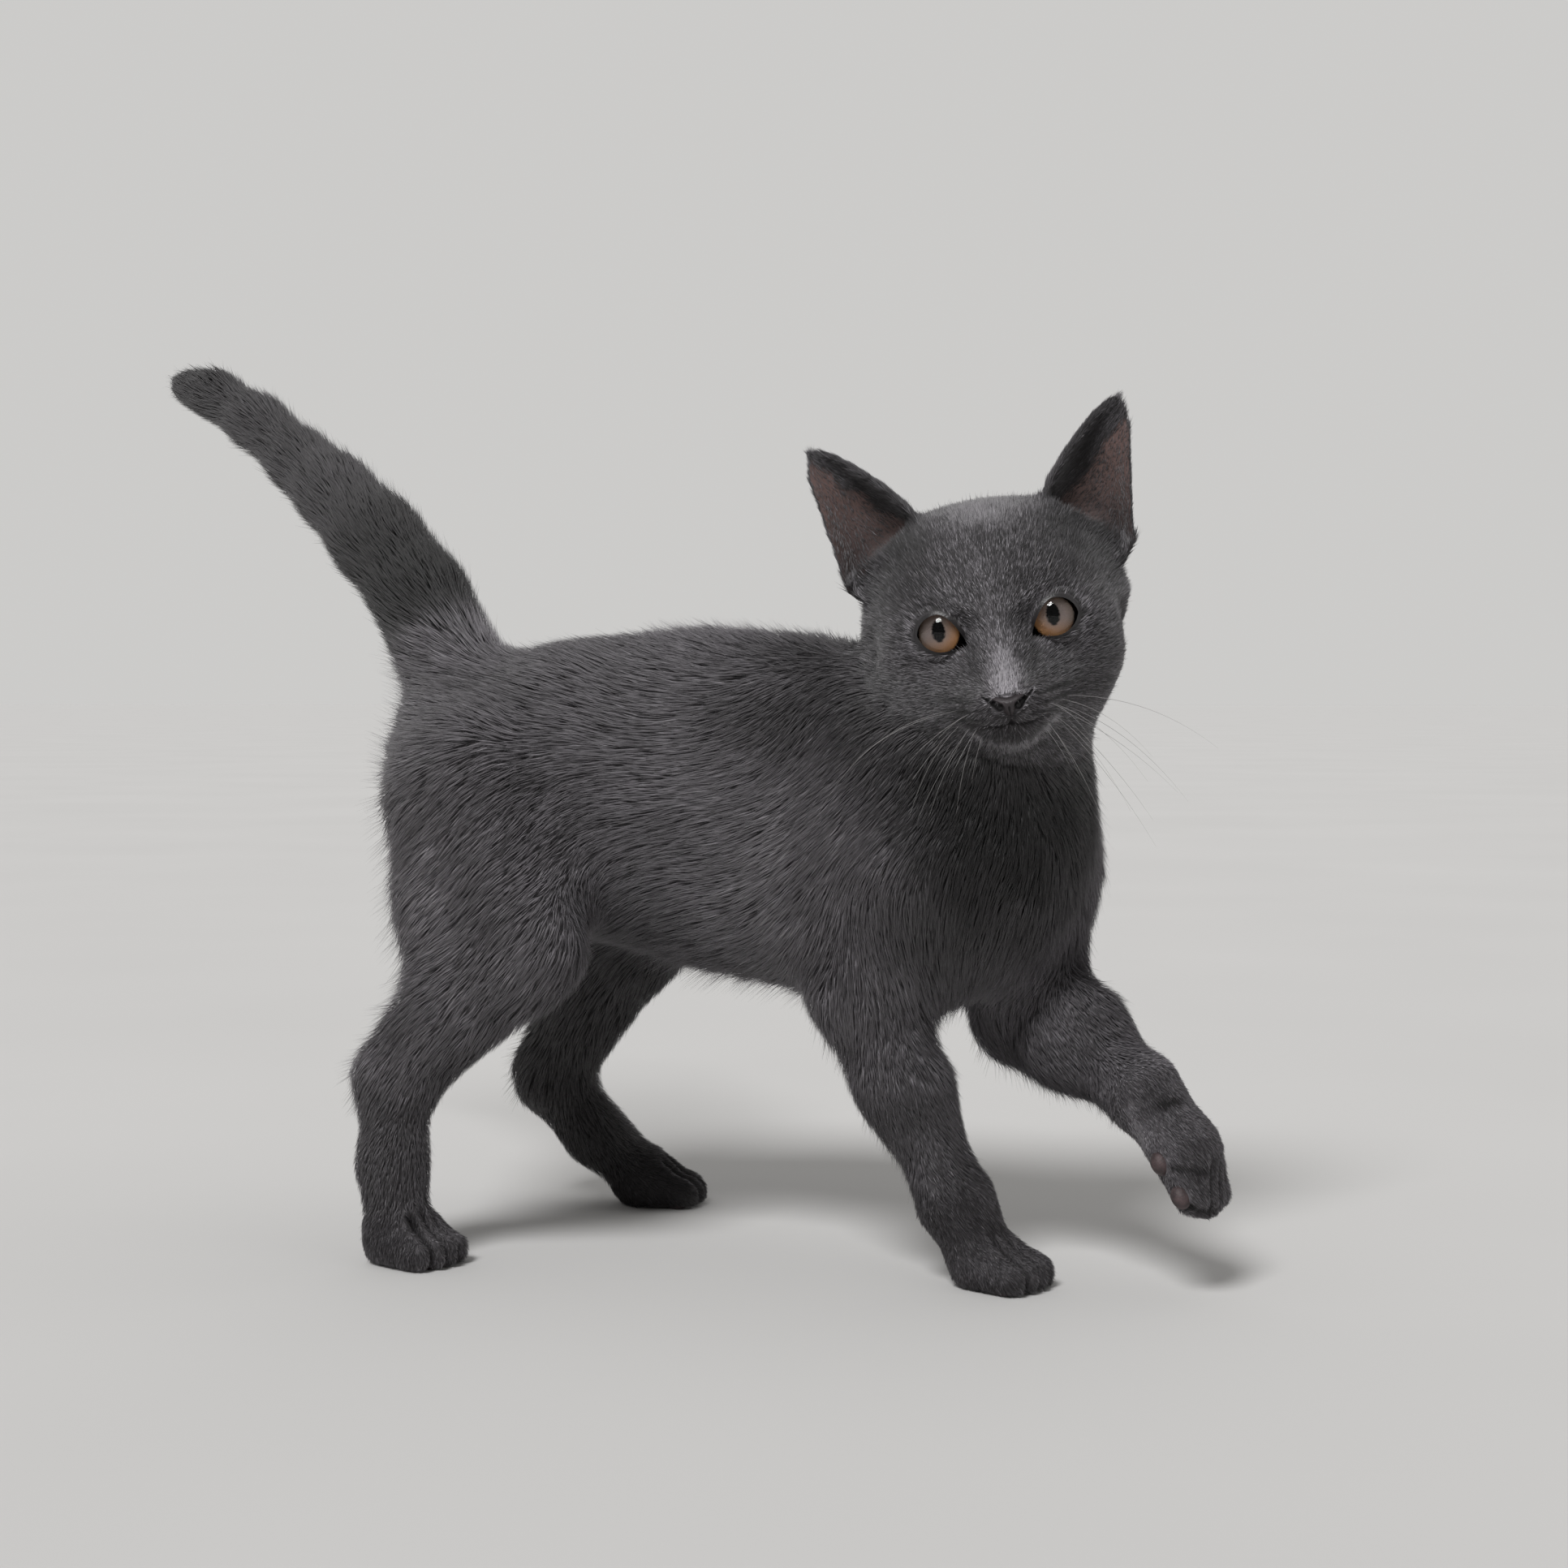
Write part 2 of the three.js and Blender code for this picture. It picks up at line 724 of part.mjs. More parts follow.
function ear(side) {
  const positions = [];
  const ringSize = 2 * (EAR.columns + 1);
  for (let row = 0; row <= EAR.rows; row++) {
    const { from, chord, deep, wall, backward } = earSection(side, row / EAR.rows);
    for (let k = 0; k < ringSize; k++) {
      const onBack = k <= EAR.columns;
      const column = onBack ? k : ringSize - 1 - k;
      const turn = (column / EAR.columns - 0.5) * Math.PI;
      const reach = onBack ? 0.5 : 0.5 - (0.7 * wall) / Math.max(chord.length(), 2 * wall);
      const sink = onBack ? deep : Math.max(deep - wall, 0) - wall * 0.3;
      const forward = onBack ? 0 : wall * 0.2;
      const at = from.clone().addScaledVector(chord, 0.5 + reach * Math.sin(turn));
      at.addScaledVector(backward, sink * Math.cos(turn) - forward);
      positions.push(at.x, at.y, at.z);
    }
  }
  const triangles = [];
  const facing = (a, b, c) => triangles.push(...(side < 0 ? [a, b, c] : [a, c, b]));
  for (let row = 0; row < EAR.rows; row++) {
    for (let k = 0; k < ringSize; k++) {
      const a = row * ringSize + k;
      const b = row * ringSize + ((k + 1) % ringSize);
      facing(a, b, b + ringSize);
      facing(a, b + ringSize, a + ringSize);
    }
  }
  const top = EAR.rows * ringSize;
  for (let k = 0; k < EAR.columns; k++) {
    const [p, q, r, s] = [k, k + 1, ringSize - 2 - k, ringSize - 1 - k];
    facing(p, r, q);
    facing(p, s, r);
    facing(top + p, top + q, top + r);
    facing(top + p, top + r, top + s);
  }
  const geometry = new THREE.BufferGeometry();
  geometry.setAttribute("position", new THREE.Float32BufferAttribute(positions, 3));
  geometry.setIndex(triangles);
  return solidOf(geometry);
}

// ---------------------------------------------------------------------------------------------
// Cuts and names
// ---------------------------------------------------------------------------------------------

const CUTS = [
  { at: point(82, -14, 177), along: point(0.32, -0.42, 0.85), radius: 57 }, // head
  { at: point(70, -10, 158), along: point(0.3, -0.38, 0.87), radius: 84 }, // neck
  { at: point(14, 3, 145), along: point(1, -0.1, 0), radius: 66 }, // chest
  { at: point(-34, 6, 145), along: point(1, 0.05, 0), radius: 66 }, // hips
  { at: TAIL[1].at, along: point(-0.6, 0.3, 0.75), radius: 34 },
  { at: TAIL[4].at, along: TAIL[5].at.clone().sub(TAIL[4].at), radius: 26 },
  { at: TAIL[6].at, along: TAIL[7].at.clone().sub(TAIL[6].at), radius: 22 },
  ...mirrored((side) => [
    { at: onHead(-27, side * 30.5, 26), along: headDirection(0.1, side * 0.62, 0.78), radius: 25 },
  ]),
  ...[RIGHT, LEFT].flatMap(({ elbow, wrist, ankle, footKnuckles }) => [
    { at: between(elbow, wrist, 0.94), along: wrist.clone().sub(elbow), radius: 19 },
    { at: ankle.clone().add(point(0, 0, -3)), along: point(0.25, 0, -0.97), radius: 26 },
    {
      at: between(ankle, footKnuckles, 0.8),
      along: footKnuckles.clone().sub(ankle),
      radius: 18,
    },
  ]),
];

// Cuts that free an upper arm or a thigh from the trunk above and the limb below: the hollow walls
// of flattened capsules, whose straight part runs between two points.
const LIMB_SHELLS = [
  {
    from: point(57, -37, 114),
    to: point(50, -31, 80),
    outward: point(-0.6, -0.8, 0),
    deep: 31,
    wide: 26,
  },
  {
    from: point(85, 10, 126),
    to: point(90, 13, 74),
    outward: point(0.7, 0.7, 0),
    deep: 29,
    wide: 24.5,
  },
  {
    from: point(-86, -38, 142),
    to: point(-67, -48, 96),
    outward: point(0, -1, 0),
    deep: 43,
    wide: 29,
  },
  {
    from: point(-88, 34, 142),
    to: point(-63, 44, 95),
    outward: point(0, 1, 0),
    deep: 40,
    wide: 28,
  },
];
const SHELL_END = 20; // how far a shell reaches past its straight part

function limbShell({ from, to, outward, deep, wide }) {
  const long = to.clone().sub(from).normalize();
  const side = outward.clone().addScaledVector(long, -outward.dot(long)).normalize();
  const frame = new THREE.Matrix4().makeBasis(side, long, side.clone().cross(long));
  const centre = between(from, to, 0.5);
  const wall = (inset) => {
    const geometry = new THREE.CapsuleGeometry(1, from.distanceTo(to) / SHELL_END, 3, 12);
    geometry.scale(wide - inset, SHELL_END - inset, deep - inset);
    geometry.applyMatrix4(frame);
    geometry.translate(centre.x, centre.y, centre.z);
    return solidOf(geometry);
  };
  return wall(0).subtract(wall(CUT_GAP));
}

// A point inside the back wall of an ear.
function insideEar(side) {
  const { from, chord, deep, wall, backward } = earSection(side, 0.65);
  return from.addScaledVector(chord, 0.5).addScaledVector(backward, deep - 0.6 * wall);
}

function legSeeds(side, { elbow, shoulder, wrist, knuckles, hip, knee, ankle, footKnuckles }) {
  const outward = point(0, side === "left" ? 14 : -14, 0);
  return {
    [`upper_arm_${side}`]: between(shoulder, elbow, 0.5).addScaledVector(outward, 0.4),
    [`forearm_${side}`]: between(elbow, wrist, 0.5),
    [`forepaw_${side}`]: knuckles,
    [`thigh_${side}`]: between(hip, knee, 0.5).add(outward),
    [`shin_${side}`]: between(knee, ankle, 0.75),
    [`hock_${side}`]: between(ankle, footKnuckles, 0.5),
    [`hindpaw_${side}`]: footKnuckles,
  };
}

// A point inside each part, by which the pieces left after the cuts are named.
const SEEDS = {
  head: onHead(-20, 0, 0),
  neck: between(onHead(-30, 0, -10), point(74, -13, 158), 0.78),
  chest: point(50, -8, 145),
  abdomen: point(-8, 6, 145),
  hips: point(-70, 3, 160),
  tail_base: TAIL[2].at,
  tail_middle: TAIL[5].at,
  tail_tip: TAIL[7].at,
  ear_right: insideEar(-1),
  ear_left: insideEar(1),
  ...legSeeds("right", RIGHT),
  ...legSeeds("left", LEFT),
};

// ---------------------------------------------------------------------------------------------
// Materials and assembly
// ---------------------------------------------------------------------------------------------

const MATERIALS = {
  coat: new THREE.MeshStandardMaterial({ color: 0x56555b, roughness: 0.85, metalness: 0 }),
  eye: new THREE.MeshStandardMaterial({ color: 0xb08a62, roughness: 0.1, metalness: 0 }),
  noseLeather: new THREE.MeshStandardMaterial({ color: 0x3b373b, roughness: 0.5, metalness: 0 }),
};

function named(name, solid, material) {
  const mesh = new THREE.Mesh(geometryOf(solid), material);
  mesh.name = name;
  return mesh;
}

// The face and the paws keep more facets than the trunk.
function importanceAt(place) {
  const ahead = place.clone().sub(HEAD.origin).dot(headAxes.forward);
  const onFace = place.distanceTo(onHead(-5, 0, -8)) < 38 && ahead > -24;
  const onPaw = place.z < 18 || place.distanceTo(LEFT.knuckles) < 19;
  return onFace ? 14 : onPaw ? 5 : 1;
}

function bodySolid() {
  const box = new THREE.Box3(point(-256, -84, -4), point(170, 84, 312));
  const smooth = thinOut(meshField(bodyField, box, MESH_CELL), BODY_FACETS, importanceAt);
  const underFloor = solidOf(new THREE.BoxGeometry(600, 300, 20).translate(0, 0, -10));
  return smooth.subtract(underFloor).add(ear(-1)).add(ear(1));
}

// Takes the piece that holds a seed out of the list.
function takePieceHolding(pieces, seed, name) {
  const probe = solidOf(new THREE.SphereGeometry(0.8, 8, 6).translate(seed.x, seed.y, seed.z));
  const found = pieces.findIndex((piece) => piece.intersect(probe).volume() > 0.1);
  if (found < 0) {
    throw new Error(`no piece holds the seed of ${name}`);
  }
  return pieces.splice(found, 1)[0];
}

function kitten() {
  const eyes = mirrored((side) => [{ side, at: onHead(EYE.forward, side * EYE.side, 0) }]);
  const eyeSize = point(EYE.radius, EYE.radius, EYE.radius);
  const noseAt = onHead(NOSE.forward, 0, NOSE.up);

  let body = bodySolid();
  for (const cut of CUTS) {
    body = body.subtract(cuttingDisc(cut));
  }
  for (const shell of LIMB_SHELLS) {
    body = body.subtract(limbShell(shell));
  }
  for (const { at } of eyes) {
    body = body.subtract(headEllipsoid(at, eyeSize, CUT_GAP));
  }
  body = body.subtract(headEllipsoid(noseAt, NOSE.size, CUT_GAP));
  const pieces = body.decompose();

  const group = new THREE.Group();
  for (const [name, seed] of Object.entries(SEEDS)) {
    group.add(named(name, takePieceHolding(pieces, seed, name), MATERIALS.coat));
  }
  if (pieces.some((piece) => piece.volume() > LEAST_PIECE)) {
    throw new Error("a piece is left over that no seed names");
  }
  for (const { side, at } of eyes) {
    const name = side < 0 ? "eye_right" : "eye_left";
    group.add(named(name, headEllipsoid(at, eyeSize), MATERIALS.eye));
  }
  group.add(named("nose", headEllipsoid(noseAt, NOSE.size), MATERIALS.noseLeather));

  // The origin goes to the floor under the middle of the kitten.
  const middle = new THREE.Box3().setFromObject(group).getCenter(point(0, 0, 0));
  group.position.set(-middle.x, -middle.y, 0);
  return group;
}

export default kitten();
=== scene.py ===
import logging
import math
from collections.abc import Iterable
from dataclasses import dataclass, field
from enum import Enum
from functools import cached_property

import bmesh
import bpy
import numpy as np
from bpy.types import Material, Mesh, Node, NodeSocket, NodeTree, Object
from mathutils import Matrix, Vector
from mathutils.bvhtree import BVHTree
from mathutils.kdtree import KDTree


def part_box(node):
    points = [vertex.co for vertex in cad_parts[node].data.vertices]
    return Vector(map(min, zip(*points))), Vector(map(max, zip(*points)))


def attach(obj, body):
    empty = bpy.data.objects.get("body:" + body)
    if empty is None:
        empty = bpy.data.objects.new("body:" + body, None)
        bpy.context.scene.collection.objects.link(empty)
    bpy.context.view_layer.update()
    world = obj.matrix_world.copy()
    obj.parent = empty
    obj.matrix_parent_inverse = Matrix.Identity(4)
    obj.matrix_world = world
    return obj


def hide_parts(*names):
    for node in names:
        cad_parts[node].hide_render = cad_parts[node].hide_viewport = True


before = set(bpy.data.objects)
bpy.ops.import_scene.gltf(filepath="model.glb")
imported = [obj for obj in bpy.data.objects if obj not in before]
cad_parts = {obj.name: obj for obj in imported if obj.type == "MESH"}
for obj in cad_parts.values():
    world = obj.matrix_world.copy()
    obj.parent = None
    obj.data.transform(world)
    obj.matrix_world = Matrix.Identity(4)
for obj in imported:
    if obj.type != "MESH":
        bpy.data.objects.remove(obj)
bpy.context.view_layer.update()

MM = 0.001  # this script works in millimetres, and Blender in metres
BODY = "root"
BAKE_MAP = "OFBake"
BAKE_PATCH = 0.003  # width of a tuft's patch on the skin's unwrap

log = logging.getLogger("kitten")

Array = np.ndarray


# ------------ Numbers and fields ------------


def unit(vectors: Array) -> Array:
    """Scales vectors to length one.

    Args:
        vectors: One vector, or one a row.

    Returns:
        The unit vectors, in the same shape.
    """
    length = np.linalg.norm(vectors, axis=-1, keepdims=True)
    return vectors / np.maximum(length, 1e-9)


def ramp(value: Array, low: float, high: float) -> Array:
    """Rises smoothly from 0 at low to 1 at high.

    Args:
        value: Where to read the ramp.
        low: Where it leaves 0. It may lie above high, and the ramp then falls.
        high: Where it reaches 1.

    Returns:
        A share from 0 to 1.
    """
    share = np.clip((value - low) / (high - low), 0, 1)
    return share * share * (3 - 2 * share)


def bump(value: Array, width: float) -> Array:
    """A bell of height 1 about 0, with that half-width."""
    return np.exp(-((value / width) ** 2))


def across(vectors: Array, normals: Array) -> Array:
    """Lays vectors into the planes square to the normals, at length one."""
    return unit(vectors - np.sum(vectors * normals, axis=-1, keepdims=True) * normals)


def noise(points: Array, size: float, seed: int) -> Array:
    """Smooth random values over space.

    Args:
        points: Points in millimetres.
        size: Distance over which the values change.
        seed: Picks one pattern.

    Returns:
        A value from -1 to 1 at each point.
    """
    cell = points / size
    floor = np.floor(cell).astype(np.int64)
    t = cell - floor
    t = t * t * (3 - 2 * t)
    total = np.zeros(len(points))
    for corner in np.ndindex(2, 2, 2):
        x, y, z = (floor + corner).T
        mixed = (x * 73856093) ^ (y * 19349663) ^ (z * 83492791) ^ (seed * 2654435761)
        mixed = (mixed ^ (mixed >> 13)) * 1274126177 & 0xFFFFFFFF
        value = ((mixed ^ (mixed >> 16)) & 0xFFFF) / 32767.5 - 1
        share = np.where(np.array(corner), t, 1 - t)
        total += value * share.prod(axis=1)
    return total


# ------------ The frame: CAD nodes and the head's own axes ------------


def cad_points(node: str) -> Array:
    """The vertices of a CAD node, in millimetres."""
    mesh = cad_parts[node].data
    flat = np.zeros(len(mesh.vertices) * 3)
    mesh.vertices.foreach_get("co", flat)
    return flat.reshape(-1, 3) / MM


def cad_centre(node: str) -> Array:
    """The middle of a CAD node's box, in millimetres."""
    low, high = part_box(node)
    return np.array((low + high) / 2) / MM


class Side(Enum):
    """The kitten's two sides, by their sign along its left."""

    RIGHT = -1
    LEFT = 1

    @property
    def word(self) -> str:
        """The side's name, as nodes are named."""
        return self.name.lower()


LEGS = ("upper_arm", "forearm", "forepaw", "thigh", "shin", "hock", "hindpaw")
SIDED = ("ear",) + LEGS
CENTRE_NODES = ("head", "neck", "chest", "abdomen", "hips", "tail_base", "tail_middle", "tail_tip")
FLESH = CENTRE_NODES + tuple(f"{name}_{side.word}" for name in SIDED for side in Side)


@dataclass(frozen=True)
class HeadFrame:
    """The head's axes, from the places of its eyes and nose.

    Its origin lies between the fronts of the eyes. Points are given as forward, left, up.
    """

    eye_depth: float = 8.4  # from the origin back to the eyes' centres
    nose_ahead: float = 21.8  # from the eyes' centres to the nose's, forward
    nose_below: float = 23.6

    def axes(self) -> Array:
        """Works out the axes.

        Returns:
            Unit vectors forward, left and up, one a row.
        """
        left = unit(cad_centre("eye_left") - cad_centre("eye_right"))
        to_nose = cad_centre("nose") - self.between_eyes()
        to_nose = across(to_nose, left)
        square = np.cross(to_nose, left)
        turn = math.atan2(self.nose_below, self.nose_ahead)
        forward = math.cos(turn) * to_nose + math.sin(turn) * square
        up = math.cos(turn) * square - math.sin(turn) * to_nose
        return np.array([forward, left, up])

    def between_eyes(self) -> Array:
        """The point midway between the eyes' centres."""
        return (cad_centre("eye_left") + cad_centre("eye_right")) / 2

    def origin(self) -> Array:
        """The head frame's origin."""
        return self.between_eyes() + self.eye_depth * self.axes()[0]


HEAD_AXES = HeadFrame().axes()
HEAD_ORIGIN = HeadFrame().origin()


def to_head(points: Array) -> Array:
    """Points of the kitten as forward, left, up in the head frame."""
    return (points - HEAD_ORIGIN) @ HEAD_AXES.T


def from_head(points: Array) -> Array:
    """Points of the head frame in the kitten's own frame."""
    return np.asarray(points, float) @ HEAD_AXES + HEAD_ORIGIN


@dataclass(frozen=True)
class Paw:
    """One paw's own axes, from its knuckles: ahead along the toes, and above out of its back."""

    knuckles: tuple[float, float, float]
    ahead: tuple[float, float, float]
    above: tuple[float, float, float] = (0.0, 0.0, 1.0)
    spread: float = 5.4  # from toe to toe at their tips
    length: float = 14.0
    gathered: float = 0.75  # the toes' spread at the knuckles, as a share of that at their tips
    parted: tuple[float, float] = (2.5, 8.0)  # how far ahead the creases between the toes begin
    under: tuple[float, float] = (-6.5, -3.5)  # the heights over which they run out below

    def axes(self) -> Array:
        """Unit vectors ahead, aside and above, one a row."""
        ahead, above = unit(np.array(self.ahead)), unit(np.array(self.above))
        aside = unit(np.cross(above, ahead))
        return np.array([ahead, aside, np.cross(ahead, aside)])

    def local(self, points: Array) -> Array:
        """Points of the kitten as ahead, aside, above from the knuckles."""
        return (points - np.array(self.knuckles)) @ self.axes().T

    def world(self, points: Array) -> Array:
        """Points of the paw's own frame in the kitten's."""
        return np.asarray(points, float) @ self.axes() + np.array(self.knuckles)

    def crease_gap(self, local: Array) -> tuple[Array, Array]:
        """How near points lie to the creases between the toes.

        Args:
            local: Points in the paw's own frame.

        Returns:
            The distance to the nearest crease, and how far along the toes' free part each point is.
        """
        ahead, aside, above = local.T
        lane = self.spread * (self.gathered + (1 - self.gathered) * np.clip(ahead / self.length, 0, 1))
        crease = np.clip(np.round(aside / lane), -1, 1) * lane
        free = ramp(ahead, *self.parted) * ramp(above, *self.under)
        return np.abs(aside - crease), free


# Knuckles, the way ahead, and for the raised paw the way out of its back.
PAWS = {
    "forepaw_right": Paw((127.1, -36.6, 6.6), (0.927, -0.375, 0)),
    "hindpaw_right": Paw((-56.4, -52.6, 6.6), (0.927, -0.375, 0)),
    "hindpaw_left": Paw((-9.9, 54.4, 6.6), (0.990, 0.139, 0)),
    "forepaw_left": Paw((185.8, -30.6, 42.0), (0.48, -0.2, -0.86), (0.87, 0.03, 0.48), 5.9, 15.0),
}


# ------------ Meshes ------------


def make_object(name: str, points: Array, faces: Array | list, smooth: bool = True) -> Object:
    """Makes a mesh object.

    Args:
        name: The piece's name.
        points: Vertices in millimetres.
        faces: Vertex numbers of each face.
        smooth: Whether it is shaded smooth.

    Returns:
        The new object, linked to the scene.
    """
    mesh = bpy.data.meshes.new(name)
    if isinstance(faces, np.ndarray):
        corners = faces.shape[1]
        mesh.vertices.add(len(points))
        mesh.vertices.foreach_set("co", (points * MM).astype(np.float32).ravel())
        mesh.loops.add(faces.size)
        mesh.loops.foreach_set("vertex_index", faces.astype(np.int32).ravel())
        mesh.polygons.add(len(faces))
        mesh.polygons.foreach_set("loop_start", np.arange(0, faces.size, corners, dtype=np.int32))
    else:
        mesh.from_pydata((np.asarray(points) * MM).tolist(), [], faces)
    mesh.update(calc_edges=True)
    mesh.validate()
    if smooth:
        mesh.polygons.foreach_set("use_smooth", np.ones(len(mesh.polygons), bool))
    item = bpy.data.objects.new(name, mesh)
    bpy.context.scene.collection.objects.link(item)
    return item


def applied(item: Object) -> Object:
    """Replaces an object's mesh with the result of its modifiers.

    Args:
        item: The object.

    Returns:
        The same object, with no modifier left on it.
    """
    shown = item.evaluated_get(bpy.context.evaluated_depsgraph_get())
    mesh = bpy.data.meshes.new_from_object(shown)
    item.modifiers.clear()
    item.data = mesh
    return item


def search_tree(points: Array, numbers: Iterable[int]) -> KDTree:
    """Puts points into a tree that finds the nearest one.

    Args:
        points: The points.
        numbers: Which of them, and the number that each is found by.

    Returns:
        The tree.
    """
    numbers = list(numbers)
    tree = KDTree(len(numbers))
    for number in numbers:
        tree.insert(points[number], number)
    tree.balance()
    return tree


def set_attribute(mesh: Mesh, name: str, values: Array) -> None:
    """Stores one number a vertex on a mesh.

    Args:
        mesh: The mesh.
        name: The attribute's name.
        values: One value a vertex.
    """
    attribute = mesh.attributes.get(name) or mesh.attributes.new(name, "FLOAT", "POINT")
    attribute.data.foreach_set("value", np.asarray(values, np.float32))


class Surface:
    """A mesh object's vertices and edges as arrays, with the means to smooth and move them."""

    def __init__(self, item: Object) -> None:
        """Reads the object's mesh.

        Args:
            item: The object.
        """
        self.item = item
        self.read()

    def read(self) -> None:
        """Reads points, edges and their counts from the mesh."""
        mesh = self.item.data
        self.points = np.zeros(len(mesh.vertices) * 3)
        mesh.vertices.foreach_get("co", self.points)
        self.points = self.points.reshape(-1, 3) / MM
        ends = np.zeros(len(mesh.edges) * 2, np.int32)
        mesh.edges.foreach_get("vertices", ends)
        self.ends = ends.reshape(-1, 2)
        self.degree = np.maximum(np.bincount(ends, minlength=len(self.points)), 1)

    def write(self) -> None:
        """Writes the points back to the mesh."""
        mesh = self.item.data
        mesh.vertices.foreach_set("co", (self.points * MM).ravel())
        mesh.update()

    def normals(self) -> Array:
        """The unit normals of the points as they stand."""
        self.write()
        found = np.zeros(len(self.points) * 3, np.float32)
        self.item.data.vertices.foreach_get("normal", found)
        return unit(found.reshape(-1, 3).astype(float))

    def neighbour_mean(self, values: Array) -> Array:
        """The mean of each vertex's neighbours.

        Args:
            values: One value or one row a vertex.

        Returns:
            The means, in the same shape.
        """
        columns = values.reshape(len(values), -1)
        a, b = self.ends.T
        count = len(columns)
        mean = np.empty_like(columns, dtype=float)
        for k in range(columns.shape[1]):
            into_a = np.bincount(a, columns[b, k], count)
            into_b = np.bincount(b, columns[a, k], count)
            mean[:, k] = (into_a + into_b) / self.degree
        return mean.reshape(values.shape)

    def blurred(self, values: Array, rounds: int) -> Array:
        """Spreads values over the surface.

        Args:
            values: One value or one row a vertex.
            rounds: How many times each vertex takes half of its neighbours' mean.

        Returns:
            The smoothed values.
        """
        for _ in range(rounds):
            values = 0.5 * values + 0.5 * self.neighbour_mean(values)
        return values

    def relax(self, rounds: Array, keep_volume: bool = True) -> None:
        """Smooths the shape.

        Args:
            rounds: How many rounds each vertex takes part in.
            keep_volume: Whether each round is followed by one that swells it back.
        """
        steps = (0.5, -0.51) if keep_volume else (0.5,)
        for turn in range(int(np.ceil(rounds.max()))):
            share = np.clip(rounds - turn, 0, 1)[:, None]
            for step in steps:
                self.points += step * share * (self.neighbour_mean(self.points) - self.points)

    def refine(self, chosen: Array) -> None:
        """Splits the edges between chosen vertices in two, which quarters the faces there.

        Args:
            chosen: Whether each vertex is chosen.
        """
        self.write()
        mesh = bmesh.new()
        mesh.from_mesh(self.item.data)
        mesh.verts.ensure_lookup_table()
        edges = [edge for edge in mesh.edges if all(chosen[v.index] for v in edge.verts)]
        bmesh.ops.subdivide_edges(mesh, edges=edges, cuts=1, use_grid_fill=True)
        bmesh.ops.triangulate(mesh, faces=[face for face in mesh.faces if len(face.verts) > 4])
        mesh.to_mesh(self.item.data)
        mesh.free()
        self.read()


# ------------ The coat's measures by region ------------


@dataclass(frozen=True)
class Lie:
    """How the coat grows on one region, in millimetres.

    depth is how far the tips stand off the skin. The hair lies along the run from the node
    named first to the node named second, with down and back added to it.
    """

    depth: float
    length: float
    width: float
    density: float  # tufts a square millimetre, before the whole is shared out
    clump: float  # how far tips are drawn to their neighbours, from 0 to 1
    smoothing: float  # rounds of smoothing that the skin takes under it
    run: tuple[str, str]
    down: float = 0.0
    back: float = 0.0
    tone: float = 0.0  # how much lighter the region is than the whole coat


def leg_lies(side: Side) -> dict[str, Lie]:
    """The coat of one side's legs and ear.

    Args:
        side: Which side.

    Returns:
        A Lie for each node.
    """
    name = side.word
    fore = (f"upper_arm_{name}", f"forepaw_{name}")
    hind = (f"thigh_{name}", f"hock_{name}")
    fore_end = (f"forearm_{name}", f"forepaw_{name}")
    hind_end = (f"hock_{name}", f"hindpaw_{name}")
    return {
        f"upper_arm_{name}": Lie(3.4, 8.5, 0.42, 1.3, 0.2, 26, fore, 0.2, 0.1, 0.13),
        f"forearm_{name}": Lie(2.2, 5.5, 0.38, 2.0, 0.15, 20, fore, tone=0.02),
        f"forepaw_{name}": Lie(1.1, 2.4, 0.34, 4.0, 0.1, 6, fore_end, tone=0.04),
        f"thigh_{name}": Lie(4.0, 9.0, 0.42, 1.3, 0.2, 34, hind, 0.3, 0.8, 0.15),
        f"shin_{name}": Lie(2.6, 7.0, 0.4, 1.7, 0.2, 22, hind, 0.0, 0.35, 0.09),
        f"hock_{name}": Lie(1.8, 4.6, 0.36, 2.2, 0.15, 16, (f"shin_{name}", f"hindpaw_{name}"), tone=0.06),
        f"hindpaw_{name}": Lie(1.1, 2.4, 0.34, 4.0, 0.1, 6, hind_end, tone=0.04),
        f"ear_{name}": Lie(0.7, 2.4, 0.26, 3.5, 0.1, 12, ("head", f"ear_{name}")),
    }


LIES: dict[str, Lie] = {
    "head": Lie(1.9, 4.2, 0.34, 4.2, 0.15, 8, ("nose", "head")),
    "neck": Lie(3.9, 8.5, 0.42, 1.6, 0.2, 36, ("head", "chest"), 0.4, tone=-0.06),
    "chest": Lie(4.2, 9.5, 0.42, 1.3, 0.2, 46, ("neck", "abdomen"), 0.4, tone=0.2),
    "abdomen": Lie(4.2, 9.5, 0.42, 1.2, 0.2, 46, ("chest", "hips"), 0.2, tone=0.14),
    "hips": Lie(4.2, 9.5, 0.42, 1.2, 0.2, 44, ("abdomen", "tail_base"), 0.35, tone=0.13),
    "tail_base": Lie(4.0, 9.5, 0.42, 1.4, 0.06, 70, ("hips", "tail_middle")),
    "tail_middle": Lie(3.6, 9.0, 0.4, 1.5, 0.05, 70, ("tail_base", "tail_tip")),
    "tail_tip": Lie(2.8, 7.5, 0.4, 1.8, 0.05, 40, ("tail_middle", "tail_tip")),
    **leg_lies(Side.RIGHT),
    **leg_lies(Side.LEFT),
}


# ------------ Finishes ------------


def linear(colour: str) -> tuple[float, float, float, float]:
    """Turns an sRGB hex colour into linear RGBA.

    Args:
        colour: Such as "#4a484b".

    Returns:
        Red, green, blue and alpha.
    """
    shares = [int(colour[i : i + 2], 16) / 255 for i in (1, 3, 5)]
    return (*[c / 12.92 if c <= 0.04045 else ((c + 0.055) / 1.055) ** 2.4 for c in shares], 1.0)


